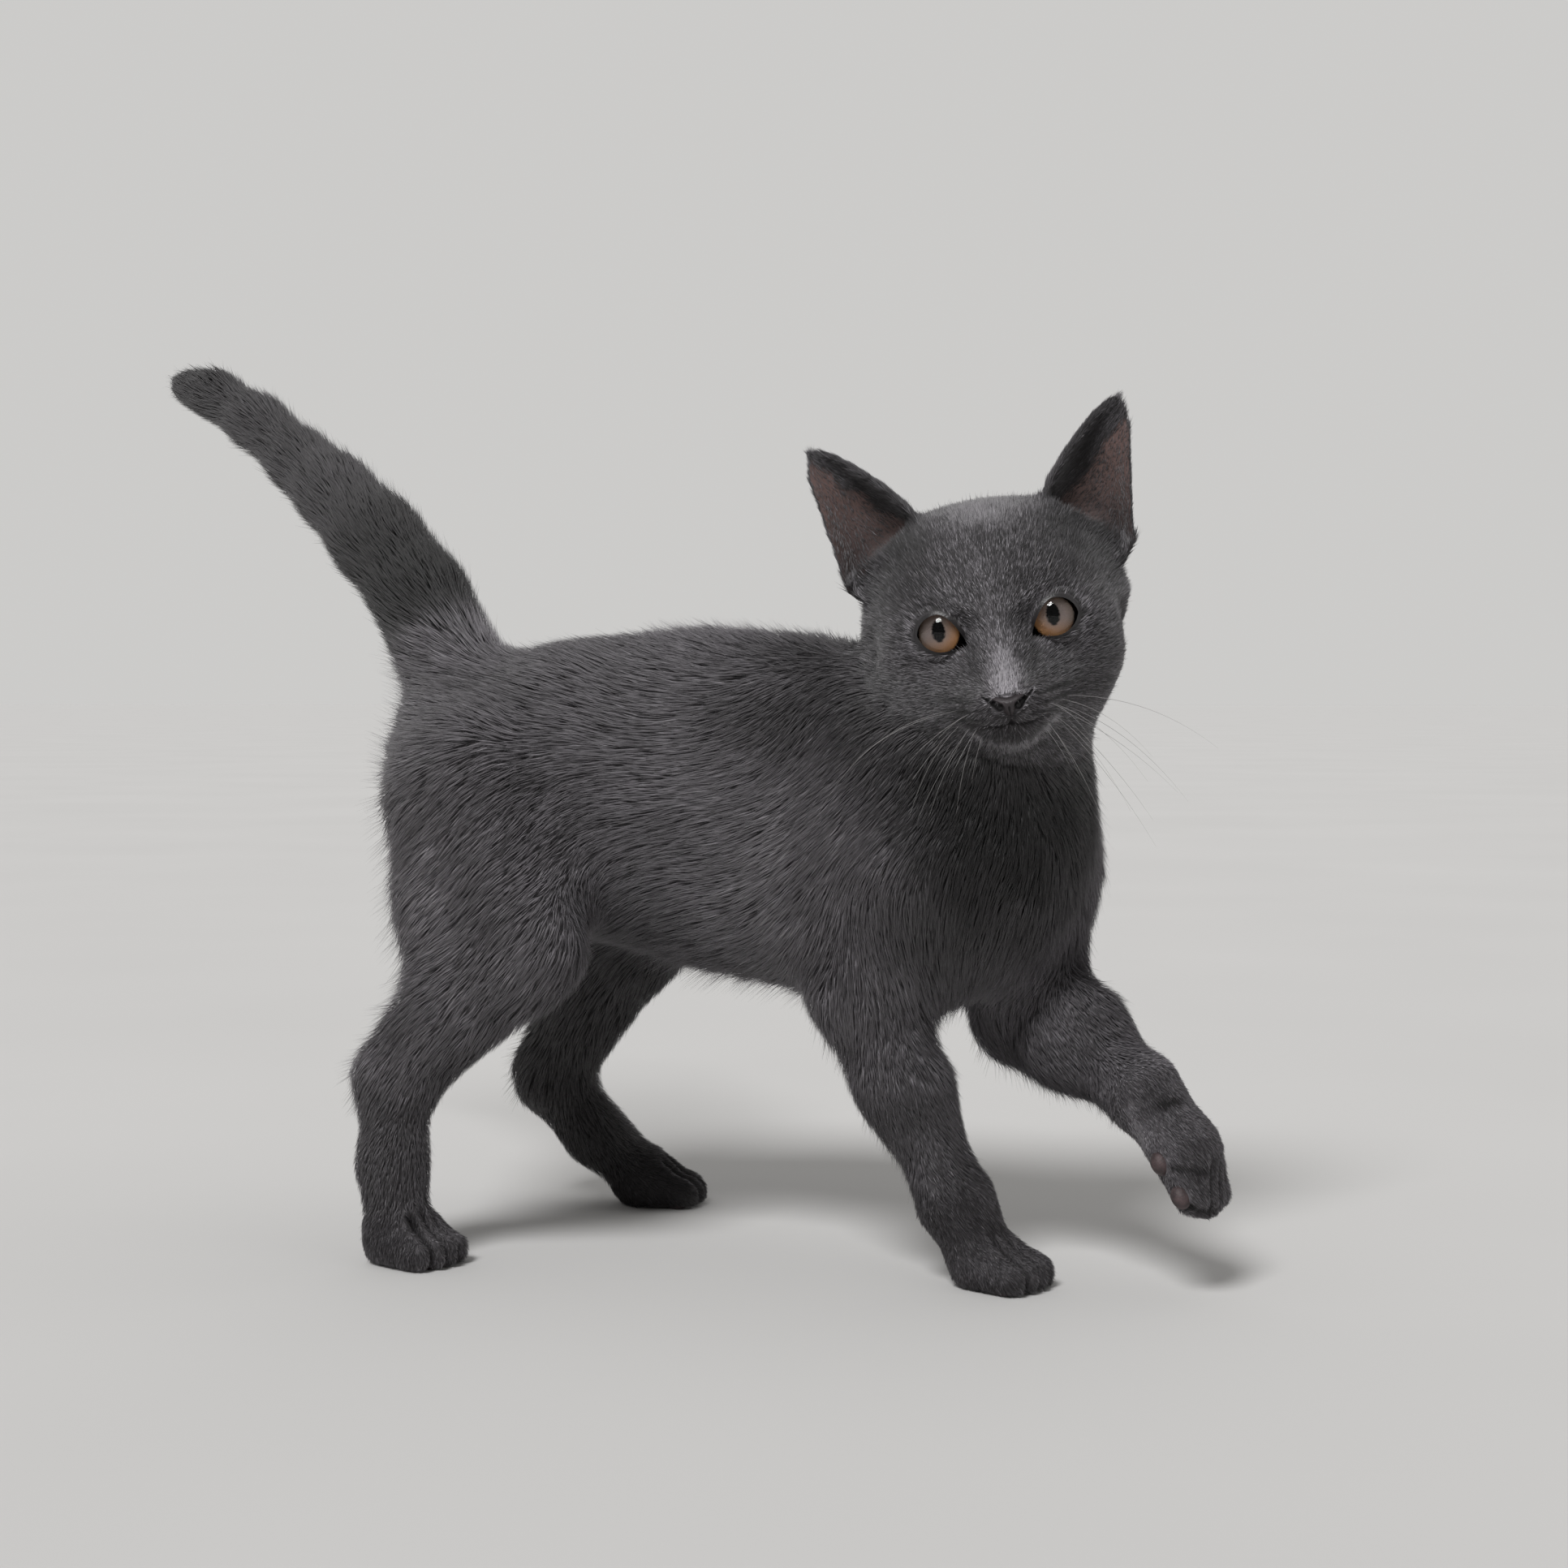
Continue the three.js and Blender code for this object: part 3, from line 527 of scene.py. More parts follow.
def add_node(tree: NodeTree, kind: str, settings: dict | None = None, **inputs) -> Node:
    """Adds a shader node.

    Args:
        tree: The node tree.
        kind: The node's type.
        settings: Properties to set on it.
        inputs: Its sockets by name, with _ for a space, each a value or the socket to link.

    Returns:
        The new node.
    """
    node = tree.nodes.new(kind)
    for name, value in (settings or {}).items():
        setattr(node, name, value)
    for name, value in inputs.items():
        socket = node.inputs[int(name[1:]) if name[1:].isdigit() else name.replace("_", " ")]
        if isinstance(value, NodeSocket):
            tree.links.new(value, socket)
        else:
            socket.default_value = value
    return node


def colour_ramp(tree: NodeTree, factor: NodeSocket, stops: dict[float, str]) -> NodeSocket:
    """Colours a number by stops.

    Args:
        tree: The node tree.
        factor: The socket that drives it.
        stops: sRGB hex colours by their place from 0 to 1.

    Returns:
        The colour socket.
    """
    node = add_node(tree, "ShaderNodeValToRGB", Fac=factor)
    elements = node.color_ramp.elements
    while len(elements) < len(stops):
        elements.new(0.5)
    for element, (place, colour) in zip(elements, sorted(stops.items())):
        element.position = place
        element.color = linear(colour)
    return node.outputs["Color"]


def blank_material(name: str) -> tuple[Material, NodeTree]:
    """Makes a material whose tree holds only its output.

    Args:
        name: The material's name.

    Returns:
        The material and its node tree.
    """
    material = bpy.data.materials.new(name)
    material.use_nodes = True
    tree = material.node_tree
    tree.nodes.clear()
    tree.nodes.new("ShaderNodeOutputMaterial")
    return material, tree


def finish_with(tree: NodeTree, **inputs) -> None:
    """Adds the Principled shader and links it to the output.

    Args:
        tree: The node tree.
        inputs: The shader's sockets, as add_node takes them.
    """
    shader = add_node(tree, "ShaderNodeBsdfPrincipled", **inputs)
    output = next(node for node in tree.nodes if node.type == "OUTPUT_MATERIAL")
    tree.links.new(shader.outputs["BSDF"], output.inputs["Surface"])


def attribute(tree: NodeTree, name: str) -> NodeSocket:
    """The number that a mesh attribute holds."""
    return add_node(tree, "ShaderNodeAttribute", {"attribute_name": name}).outputs["Fac"]


COLOURS = {"data_type": "RGBA"}  # makes a mix node blend colours

# Blue-grey guard hair: near black at the root, slate along it and silver at the tip.
COAT_STOPS = {0.0: "#141213", 0.3: "#2d2a2c", 0.55: "#4b484b", 0.78: "#757176", 1.0: "#b0acb1"}


@dataclass(frozen=True)
class GuardHair:
    """Keratin hair, dull from its scales, with a soft sheen where it turns from the eye."""

    roughness: float = 0.55
    ior: float = 1.55  # keratin
    sheen: float = 0.12
    sheen_roughness: float = 0.5

    def material(self) -> Material:
        """Builds the material.

        Returns:
            The coat's material, coloured by the attribute "tone".
        """
        made, tree = blank_material("guard_hair")
        colour = colour_ramp(tree, attribute(tree, "tone"), COAT_STOPS)
        finish_with(
            tree,
            Base_Color=colour,
            Roughness=self.roughness,
            IOR=self.ior,
            Sheen_Weight=self.sheen,
            Sheen_Roughness=self.sheen_roughness,
        )
        return made


@dataclass(frozen=True)
class Undercoat:
    """Dense woolly hair close to the skin, and the bare skin of ears, lids and lips.

    Its strands show as a fine grain that takes the light unevenly.
    """

    grain_mm: float = 0.5  # strands are 0.04 mm; drawn coarser, as they show in small locks
    grain_light: float = 0.3  # how far the grain's lightest spots lie above its darkest
    grain_dark: float = 0.2  # how far its darkest spots lie under the coat's own tone
    relief_mm: float = 0.4
    roughness: float = 0.75
    wet_roughness: float = 0.35  # of the rims of lids and lips
    sheen: float = 0.1
    bare_colour: str = "#6a5450"  # thin warm skin with blood behind it
    dark_colour: str = "#1d1a1c"  # pigmented rims of lids and lips, and painted shade in the nostril slits

    def material(self) -> Material:
        """Builds the material.

        Returns:
            The skin's material, by the attributes "tone", "bare" and "rim".
        """
        made, tree = blank_material("undercoat_and_skin")
        where = add_node(tree, "ShaderNodeTexCoord").outputs["Object"]
        grain = add_node(
            tree, "ShaderNodeTexNoise", Vector=where, Scale=1 / (self.grain_mm * MM), Detail=3.0
        ).outputs["Fac"]
        light, dark = self.grain_light, -self.grain_dark
        uneven = add_node(
            tree, "ShaderNodeMath", {"operation": "MULTIPLY_ADD"}, _0=grain, _1=light, _2=dark
        )
        tone = add_node(
            tree, "ShaderNodeMath", {"operation": "ADD"}, _0=attribute(tree, "tone"), _1=uneven.outputs[0]
        )
        fur = colour_ramp(tree, tone.outputs[0], COAT_STOPS)
        bare, rim = attribute(tree, "bare"), attribute(tree, "rim")
        warm = add_node(tree, "ShaderNodeMix", COLOURS, _0=bare, _6=fur, _7=linear(self.bare_colour))
        colour = add_node(
            tree, "ShaderNodeMix", COLOURS, _0=rim, _6=warm.outputs[2], _7=linear(self.dark_colour)
        )
        rough = add_node(
            tree, "ShaderNodeMapRange", Value=rim, To_Min=self.roughness, To_Max=self.wet_roughness
        )
        relief = add_node(tree, "ShaderNodeBump", Strength=0.35, Distance=self.relief_mm * MM, Height=grain)
        finish_with(
            tree,
            Base_Color=colour.outputs[2],
            Roughness=rough.outputs[0],
            Normal=relief.outputs[0],
            Sheen_Weight=self.sheen,
        )
        return made


@dataclass(frozen=True)
class NoseLeather:
    """Damp hairless skin, pebbled like fine leather, which gives small soft glints."""

    pebble_mm: float = 0.45
    patch_mm: float = 2.5
    relief_mm: float = 0.2
    roughness: float = 0.5
    pit_colour: str = "#0d0b0c"  # the shade inside the nostrils

    def material(self) -> Material:
        """Builds the material.

        Returns:
            The nose's material, darkened by the attribute "pit".
        """
        made, tree = blank_material("nose_leather")
        where = add_node(tree, "ShaderNodeTexCoord").outputs["Object"]
        cells = add_node(tree, "ShaderNodeTexVoronoi", Vector=where, Scale=1 / (self.pebble_mm * MM))
        patches = add_node(tree, "ShaderNodeTexNoise", Vector=where, Scale=1 / (self.patch_mm * MM))
        skin = colour_ramp(tree, patches.outputs["Fac"], {0.3: "#292426", 0.7: "#373033"})
        colour = add_node(
            tree, "ShaderNodeMix", COLOURS, _0=attribute(tree, "pit"), _6=skin, _7=linear(self.pit_colour)
        )
        deep = self.relief_mm * MM
        height = cells.outputs["Distance"]
        relief = add_node(tree, "ShaderNodeBump", Strength=0.5, Distance=deep, Height=height)
        finish_with(tree, Base_Color=colour.outputs[2], Roughness=self.roughness, Normal=relief.outputs[0])
        return made


@dataclass(frozen=True)
class PadSkin:
    """The thick, dry, slightly rough skin of the paw pads, a dull mauve-brown."""

    grain_mm: float = 0.5
    patch_mm: float = 3.0
    relief_mm: float = 0.2
    roughness: float = 0.6

    def material(self) -> Material:
        """Builds the material.

        Returns:
            The pads' material.
        """
        made, tree = blank_material("pad_skin")
        where = add_node(tree, "ShaderNodeTexCoord").outputs["Object"]
        grain = add_node(tree, "ShaderNodeTexVoronoi", Vector=where, Scale=1 / (self.grain_mm * MM))
        patches = add_node(tree, "ShaderNodeTexNoise", Vector=where, Scale=1 / (self.patch_mm * MM))
        colour = colour_ramp(tree, patches.outputs["Fac"], {0.35: "#3a3031", 0.65: "#514243"})
        deep = self.relief_mm * MM
        height = grain.outputs["Distance"]
        relief = add_node(tree, "ShaderNodeBump", Strength=0.5, Distance=deep, Height=height)
        finish_with(tree, Base_Color=colour, Roughness=self.roughness, Normal=relief.outputs[0])
        return made


@dataclass(frozen=True)
class WhiskerHorn:
    """Stiff keratin hair, glossy, grey at the root and pale along it."""

    roughness: float = 0.3
    ior: float = 1.55  # keratin

    def material(self) -> Material:
        """Builds the material.

        Returns:
            The whiskers' material, by the attribute "along".
        """
        made, tree = blank_material("whisker_hair")
        along = attribute(tree, "along")
        colour = colour_ramp(tree, along, {0.0: "#565355", 0.3: "#8d8a8a", 1.0: "#b3b0ae"})
        finish_with(tree, Base_Color=colour, Roughness=self.roughness, IOR=self.ior)
        return made


@dataclass(frozen=True)
class IrisAndPupil:
    """The eyeball behind the cornea: iris fibres, amber below and lilac-grey above, the top darkened further
    as painted shade of the upper lid, and a black pupil.

    It is wetted by the same water as fills the eye, so its own surface throws nothing back.
    """

    amber: tuple[str, str, str] = ("#9c877a", "#b0886a", "#b3845a")  # from the pupil outward
    # Lilac-grey, and darker than the amber because painted shade of the upper lid lies on it.
    lilac: tuple[str, str, str] = ("#8a7f7c", "#8f827d", "#78695f")
    bands: tuple[float, float, float, float] = (0.25, 0.55, 0.84, 0.97)  # their places, and the rim's
    rim: str = "#150f0e"
    hole: str = "#020203"
    fibres: float = 26.0  # to a radian
    stretch: float = 0.35  # how slowly a fibre changes along its length
    swing: float = 0.2  # how far fibres shift the bands
    blend: tuple[float, float] = (0.2, 0.66)  # the heights over which amber gives way to lilac
    relief_mm: float = 0.3

    def material(self) -> Material:
        """Builds the material.

        Returns:
            The eyeball's material, by the attributes "out", "turn", "height" and "pupil".
        """
        made, tree = blank_material("iris_and_pupil")
        out = attribute(tree, "out")
        along = add_node(tree, "ShaderNodeMath", {"operation": "MULTIPLY"}, _0=out, _1=self.stretch)
        place = add_node(tree, "ShaderNodeCombineXYZ", X=attribute(tree, "turn"), Y=along.outputs[0])
        fibres = add_node(
            tree,
            "ShaderNodeTexNoise",
            {"noise_dimensions": "2D"},
            Vector=place.outputs[0],
            Scale=self.fibres,
            Detail=4.0,
        ).outputs["Fac"]
        swing = self.swing
        shift = add_node(
            tree, "ShaderNodeMath", {"operation": "MULTIPLY_ADD"}, _0=fibres, _1=swing, _2=-0.5 * swing
        )
        shifted = add_node(tree, "ShaderNodeMath", {"operation": "ADD"}, _0=out, _1=shift.outputs[0])
        below, above = (
            colour_ramp(tree, shifted.outputs[0], dict(zip(self.bands, (*colours, self.rim))))
            for colours in (self.amber, self.lilac)
        )
        low, high = self.blend
        rise = add_node(
            tree, "ShaderNodeMapRange", Value=attribute(tree, "height"), From_Min=low, From_Max=high
        )
        iris = add_node(tree, "ShaderNodeMix", COLOURS, _0=rise.outputs[0], _6=below, _7=above)
        pupil = attribute(tree, "pupil")
        colour = add_node(
            tree, "ShaderNodeMix", COLOURS, _0=pupil, _6=iris.outputs[2], _7=linear(self.hole)
        )
        relief = add_node(tree, "ShaderNodeBump", Strength=0.4, Distance=self.relief_mm * MM, Height=fibres)
        finish_with(
            tree,
            Base_Color=colour.outputs[2],
            Roughness=0.6,
            Normal=relief.outputs[0],
            Specular_IOR_Level=0.0,
        )
        return made


@dataclass(frozen=True)
class CorneaFilm:
    """Clear wet cornea: no colour, mirror smooth, bending light a little more than water."""

    ior: float = 1.376
    specular: float = 0.14  # the mirror of the tear film is broken by lashes and lids

    def material(self) -> Material:
        """Builds the material.

        Returns:
            The cornea's material.
        """
        made, tree = blank_material("cornea")
        finish_with(
            tree,
            Base_Color=(1, 1, 1, 1),
            Roughness=0.0,
            IOR=self.ior,
            Specular_IOR_Level=self.specular,
            Transmission_Weight=1.0,
        )
        return made


@dataclass(frozen=True)
class StudioPaper:
    """Matt pale paper under the model, with the faintest mottle."""

    def material(self) -> Material:
        """Builds the material.

        Returns:
            The floor's material.
        """
        made, tree = blank_material("studio_paper")
        where = add_node(tree, "ShaderNodeTexCoord").outputs["Object"]
        mottle = add_node(tree, "ShaderNodeTexNoise", Vector=where, Scale=3.0)
        colour = colour_ramp(tree, mottle.outputs["Fac"], {0.3: "#c9c8c7", 0.7: "#cccbca"})
        finish_with(tree, Base_Color=colour, Roughness=0.9)
        return made


# ------------ Skin ------------


@dataclass(frozen=True)
class EyeOpening:
    """The visible opening of one eye, as out and up from the eye's centre."""

    depth: float = 8.4  # of the eye's centre behind the head frame's origin
    aside: float = 16.8
    radius: float = 8.6
    outer: tuple[float, float] = (7.5, 0.3)
    upper: tuple[float, float] = (0.7, 5.7)
    inner: tuple[float, float] = (-7.2, -4.6)
    lower: tuple[float, float] = (0.5, -5.7)
    steps: int = 14  # points along each quarter of the outline

    def centre(self, side: Side) -> Array:
        """The eye's centre in the head frame."""
        return np.array([-self.depth, side.value * self.aside, 0.0])

    def outline(self) -> Array:
        """The opening's outline, from outer corner over the top and back.

        Returns:
            Points as out and up from the centre of the eye.
        """
        outer, upper, inner, lower = (np.array(p) for p in (self.outer, self.upper, self.inner, self.lower))
        corners = [
            (outer, outer + (-0.6, 3.6), upper + (3.0, 0.2), upper),
            (upper, upper + (-3.4, -0.3), inner + (1.2, 3.6), inner),
            (inner, inner + (1.0, -0.9), lower + (-3.0, 0.0), lower),
            (lower, lower + (3.2, 0.1), outer + (-0.5, -3.2), outer),
        ]
        t = np.linspace(0, 1, self.steps, endpoint=False)[:, None]
        spans = [
            (1 - t) ** 3 * a + 3 * (1 - t) ** 2 * t * b + 3 * (1 - t) * t * t * c + t**3 * d
            for a, b, c, d in corners
        ]
        return np.concatenate(spans)

    def gap_to(self, head: Array, side: Side) -> Array:
        """Distance from points of the head frame to the outline, seen from the front.

        Args:
            head: Points in the head frame.
            side: Which eye.

        Returns:
            The distance, negative inside the opening.
        """
        local = np.stack([side.value * head[:, 1] - self.aside, head[:, 2]], 1)
        ring = self.outline()
        nearest = np.full(len(local), 1e9)
        crossings = np.zeros(len(local), int)
        for a, b in zip(ring, np.roll(ring, -1, axis=0)):
            span = b - a
            t = np.clip((local - a) @ span / (span @ span), 0, 1)
            nearest = np.minimum(nearest, np.linalg.norm(local - a - t[:, None] * span, axis=1))
            over = (a[1] > local[:, 1]) != (b[1] > local[:, 1])
            meet = a[0] + (local[:, 1] - a[1]) / (span[1] if span[1] else 1e-9) * span[0]
            crossings += over & (local[:, 0] < meet)
        return np.where(crossings % 2 == 1, -nearest, nearest)


@dataclass(frozen=True)
class Patch:
    """A soft patch of the head, alike on both sides, as seen from the front."""

    aside: float
    up: float
    wide: float
    high: float
    strength: float = 1.0

    def at(self, left: Array, up: Array) -> Array:
        """How strong the patch is at places along the head's left and up axes."""
        return self.strength * bump(np.abs(left) - self.aside, self.wide) * bump(up - self.up, self.high)


class Muzzle:
    """Lines and swellings of the muzzle, by places along the head's left and up axes."""

    half = 14.0  # from the middle to a corner of the mouth
    nose = -22.8  # height of the nose's middle
    leather_top = 0.7  # how far the bare nose's middle lies under that, as fur covers its top
    nostril = (2.9, -23.6)
    slit_end = (7.1, -20.1)  # the outer end of the slit that runs out from the nostril
    whisker_pads = Patch(9.5, -25.0, 5.5, 3.8, 1.6)
    chin_swelling = Patch(0.0, -33.6, 7.0, 3.0, 0.7)
    bed_depth = 0.8
    stem_depth = 0.8
    mouth_depth = 1.0
    slit_depth = 1.6

    @staticmethod
    def mouth(left: Array) -> Array:
        """The mouth line's height."""
        return -29.2 + 0.9 * bump(left, 2.2) + 0.016 * left**2

    @staticmethod
    def chin(left: Array) -> Array:
        """The height of the chin's lower rim."""
        return -36.6 + 0.0375 * left**2

    @staticmethod
    def stem(left: Array, up: Array) -> Array:
        """The groove from the nose down to the mouth."""
        return bump(left, 0.55) * ramp(up, -24.8, -26.6) * ramp(up, -29.6, -28.2)

    @classmethod
    def lips(cls, left: Array, up: Array) -> Array:
        """The line of the mouth, between its corners."""
        return bump(up - cls.mouth(left), 0.7) * ramp(np.abs(left), cls.half, cls.half - 4)

    @classmethod
    def nose_oval(cls, left: Array, up: Array, wide: float, high: float) -> Array:
        """Distance from the bare nose's middle, as a share of an oval's half sizes."""
        return np.hypot(left / wide, (up - cls.nose + cls.leather_top) / high)

    @classmethod
    def slit(cls, left: Array, up: Array) -> Array:
        """How deep points are in a nostril or the slit that runs out from it.

        Args:
            left: Places along the head's left axis.
            up: Places along its up axis.

        Returns:
            1 in the middle of a nostril, falling to 0 outside it.
        """
        inner, outer = np.array(cls.nostril), np.array(cls.slit_end)
        span = outer - inner
        aside = np.abs(left) - inner[0]
        t = np.clip((aside * span[0] + (up - inner[1]) * span[1]) / (span @ span), 0, 1)
        gap = np.hypot(aside - t * span[0], up - inner[1] - t * span[1])
        return ramp(gap, 1.5 - 0.95 * t, 0.9 - 0.75 * t)

    @classmethod
    def relief(cls, left: Array, up: Array) -> Array:
        """How far the muzzle stands out.

        Args:
            left: Places along the head's left axis.
            up: Places along its up axis.

        Returns:
            Millimetres forward, negative in the hollows.
        """
        swollen = cls.whisker_pads.at(left, up) + cls.chin_swelling.at(left, up)
        bed = cls.bed_depth * ramp(cls.nose_oval(left, up, 6.0, 3.6), 1.1, 0.8)
        grooves = cls.stem_depth * cls.stem(left, up) + cls.mouth_depth * cls.lips(left, up)
        return swollen - bed - grooves - cls.slit_depth * cls.slit(left, up)


@dataclass
class Skin:
    """One closed skin over the whole kitten, lying inside the CAD flesh by the coat's depth."""

    voxel: float = 1.45
    swell: float = 0.5  # closes the cuts between the nodes
    opening: EyeOpening = field(default_factory=EyeOpening)
    lid: float = 0.8
    face_thinning: float = 0.55  # share of the coat's depth that the face goes without
    ear_thinning: float = 0.7
    sink_steps: int = 4
    settlings: int = 3  # rounds that bring the surface to its depth after smoothing
    settling: float = 0.85  # share of the error that each of them takes away
    bridging: int = 260  # rounds of blur that find the hollows
    bridge_most: float = 3.5
    crown_rise: float = 1.6
    least_height: tuple[float, float] = (0.4, 0.3)  # over the floor, before and after sculpting
    fold_depth: float = 1.8  # of the fold beside the curled toe
    ear_tufts: Patch = Patch(25.0, 27.0, 9.0, 8.0)  # the longer hair before the ears

    def build(self) -> Surface:
        """Builds the skin, its markings and the measures of its coat.

        Returns:
            The finished surface.
        """
        surface = Surface(self.joined())
        outline = BVHTree.FromObject(surface.item, bpy.context.evaluated_depsgraph_get())
        self.label(surface)
        surface.relax(surface.blurred(self.measure("smoothing"), 6))
        surface.relax(np.full(len(surface.points), 2.0), keep_volume=False)
        self.sink(surface, outline)
        self.label(surface)
        face = self.face_box(to_head(surface.points))
        surface.refine(face | self.belongs("forepaw", "hindpaw"))
        surface.refine(self.finest(surface))
        self.label(surface)
        self.sculpt(surface)
        self.part_toes(surface)
        self.grow(surface)
        surface.write()
        return surface

    def joined(self) -> Object:
        """Joins the nodes of flesh, a little swollen, into one remeshed body.

        Returns:
            The new mesh object.
        """
        points, faces, start = [], [], 0
        for node in FLESH + ("eye_right", "eye_left", "nose"):
            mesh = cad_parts[node].data
            out = np.zeros(len(mesh.vertices) * 3, np.float32)
            mesh.vertices.foreach_get("normal", out)
            grown = cad_points(node) + self.swell * unit(out.reshape(-1, 3).astype(float))
            points.append(grown)
            mesh.calc_loop_triangles()
            corners = np.zeros(len(mesh.loop_triangles) * 3, np.int32)
            mesh.loop_triangles.foreach_get("vertices", corners)
            faces.append(corners.reshape(-1, 3) + start)
            start += len(grown)
        body = make_object("skin", np.concatenate(points), np.concatenate(faces))
        remesh = body.modifiers.new("remesh", "REMESH")
        remesh.mode = "VOXEL"
        remesh.voxel_size = self.voxel * MM
        return applied(body)

    @cached_property
    def samples(self) -> tuple[KDTree, Array]:
        """Points of the CAD flesh in a search tree, and the number of the node that each is on.

        Returns:
            The tree and the numbers.
        """
        points, owners = [], []
        for number, node in enumerate(FLESH):
            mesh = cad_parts[node].data
            middles = np.zeros(len(mesh.polygons) * 3)
            mesh.polygons.foreach_get("center", middles)
            own = np.concatenate([cad_points(node), middles.reshape(-1, 3) / MM])
            points.append(own)
            owners.append(np.full(len(own), number))
        points = np.concatenate(points)
        return search_tree(points, range(len(points))), np.concatenate(owners)

    def label(self, surface: Surface) -> None:
        """Finds which CAD node each point of the surface belongs to.

        Args:
            surface: The surface.
        """
        tree, owners = self.samples
        self.owner = owners[[tree.find(place)[1] for place in surface.points]]

    def measure(self, name: str) -> Array:
        """One of the coat's measures for each point, by the node it belongs to."""
        return np.array([getattr(LIES[node], name) for node in FLESH], float)[self.owner]

    def belongs(self, *names: str) -> Array:
        """Whether each point belongs to a node whose name starts with one of these."""
        return np.array([node.startswith(names) for node in FLESH])[self.owner]

    def on_front(self, head: Array, back: float = -24.0, front: float = -4.0) -> Array:
        """The head's share before one depth in it, rising to 1 at another."""
        return ramp(head[:, 0], back, front) * self.belongs("head")

    def sink(self, surface: Surface, outline: BVHTree) -> None:
        """Moves the surface in by the coat's depth.

        Args:
            surface: The surface.
            outline: The outline of the coat's tips.
        """
        depth = surface.blurred(self.measure("depth"), 12)
        on_face = self.on_front(to_head(surface.points), -26, -6)
        ears = self.belongs("ear").astype(float)
        thinner = (1 - self.face_thinning * on_face) * (1 - self.ear_thinning * surface.blurred(ears, 6))
        depth = surface.blurred(depth * thinner + self.swell, 3)
        for _ in range(self.sink_steps):
            surface.points -= surface.normals() * depth[:, None] / self.sink_steps
            surface.relax(np.full(len(surface.points), 1.0))
        thick = ramp(surface.blurred(ears, 40), 0.1, 0.002)
        detailed = surface.blurred(self.belongs("head", "forepaw", "hindpaw").astype(float), 12)
        for _ in range(self.settlings):
            normals = surface.normals()
            error = np.empty(len(surface.points))
            for k, place in enumerate(surface.points * MM):
                spot, facing, _, _ = outline.find_nearest(place)
                gap = Vector(place) - spot
                error[k] = math.copysign(gap.length, gap.dot(facing)) / MM
            near = surface.blurred(np.clip(-depth - error, -3, 3) * thick, 8)
            change = detailed * near + (1 - detailed) * surface.blurred(near, 40)
            surface.points += self.settling * change[:, None] * normals
            surface.relax(np.full(len(surface.points), 1.0))
        self.fill_hollows(surface)
        surface.points[:, 2] = np.maximum(surface.points[:, 2], self.least_height[0])

    def fill_hollows(self, surface: Surface) -> None:
        """Raises the hollows where legs and neck join the trunk, as loose skin bridges them.

        Args:
            surface: The surface.
        """
        trunk = self.belongs("neck", "chest", "abdomen", "hips", "thigh", "upper_arm", "tail_base")
        normals = surface.normals()
        bridged = surface.blurred(surface.points, self.bridging)
        rise = np.clip(np.sum((bridged - surface.points) * normals, axis=1), 0, self.bridge_most)
        rise = surface.blurred(rise * surface.blurred(trunk.astype(float), 20), 25)
        surface.points += rise[:, None] * normals
        crown = to_head(surface.points)
        dome = bump(crown[:, 1] / 17, 1.0) * ramp(crown[:, 2], 14, 28) * self.belongs("head")
        surface.points += self.crown_rise * surface.blurred(dome, 8)[:, None] * normals

    @staticmethod
    def face_box(head: Array) -> Array:
        """Whether points of the head frame lie within the box about the face."""
        forward, left, up = head.T
        return (forward > -20) & (np.abs(left) < 34) & (up > -42) & (up < 16)

    def finest(self, surface: Surface) -> Array:
        """Where the mesh is made finest: about eyes, nose and mouth and along the toes' creases.

        Args:
            surface: The surface.

        Returns:
            Whether each point is chosen.
        """
        head = to_head(surface.points)
        near = (np.abs(head[:, 1]) < 17) & (head[:, 2] < -17)
        for side in Side:
            near |= np.linalg.norm(head[:, 1:] - self.opening.centre(side)[1:], axis=1) < 10.5
        toes = np.zeros(len(head), bool)
        for paw in PAWS.values():
            gap, free = paw.crease_gap(paw.local(surface.points))
            close = np.linalg.norm(surface.points - np.array(paw.knuckles), axis=1) < 26
            toes |= (gap < 1.5) & (free > 0.1) & close
        return (self.face_box(head) & (head[:, 0] > -10) & near) | toes

    def sculpt(self, surface: Surface) -> None:
        """Shapes the lids, the bed of the nose, the philtrum and the mouth.

        Args:
            surface: The surface.
        """
        head = to_head(surface.points)
        for side in Side:
            head = head + self.lid_change(head, side) * self.belongs("head")[:, None]
        left, up = head[:, 1:].T
        muzzle = self.on_front(head, -5, 1)
        brow_to_ear = self.on_front(head, -20, -14)
        head[:, 0] += muzzle * Muzzle.relief(left, up)
        surface.points = from_head(head)
        # Painted shade in the nostril slits on the skin; the pigmented lid rims are added below.
        self.rim = Muzzle.slit(left, up) * muzzle
        for side in Side:
            gap = self.opening.gap_to(head, side)
            self.rim = np.maximum(self.rim, ramp(gap, 1.6, 0.8) * brow_to_ear)
        self.lips = np.maximum(Muzzle.lips(left, up), Muzzle.stem(left, up)) * muzzle

    def part_toes(self, surface: Surface) -> None:
        """Parts the toes by creases and clears the places of the pads.

        Args:
            surface: The surface.
        """
        self.creases, self.near_crease, self.padded = np.zeros((3, len(surface.points)))
        for name, paw in PAWS.items():
            local = paw.local(surface.points)
            gap, free = paw.crease_gap(local)
            on_paw = self.belongs(name) * free
            self.creases = np.maximum(self.creases, on_paw * bump(gap, 1.1))
            self.near_crease = np.maximum(self.near_crease, on_paw * bump(gap, 2.4))
            self.clear_pads(name, local)
            change = on_paw * (0.9 * bump(gap - 2.6, 1.6) - 3.0 * bump(gap, 1.0))
            if name == "forepaw_left":
                fold = self.curled_toe(local) * self.belongs(name)
                self.creases = np.maximum(0.5 * self.creases, fold)
                change = 0.35 * change - self.fold_depth * fold
            surface.points += change[:, None] * surface.normals()
        surface.points[:, 2] = np.maximum(surface.points[:, 2], self.least_height[1])

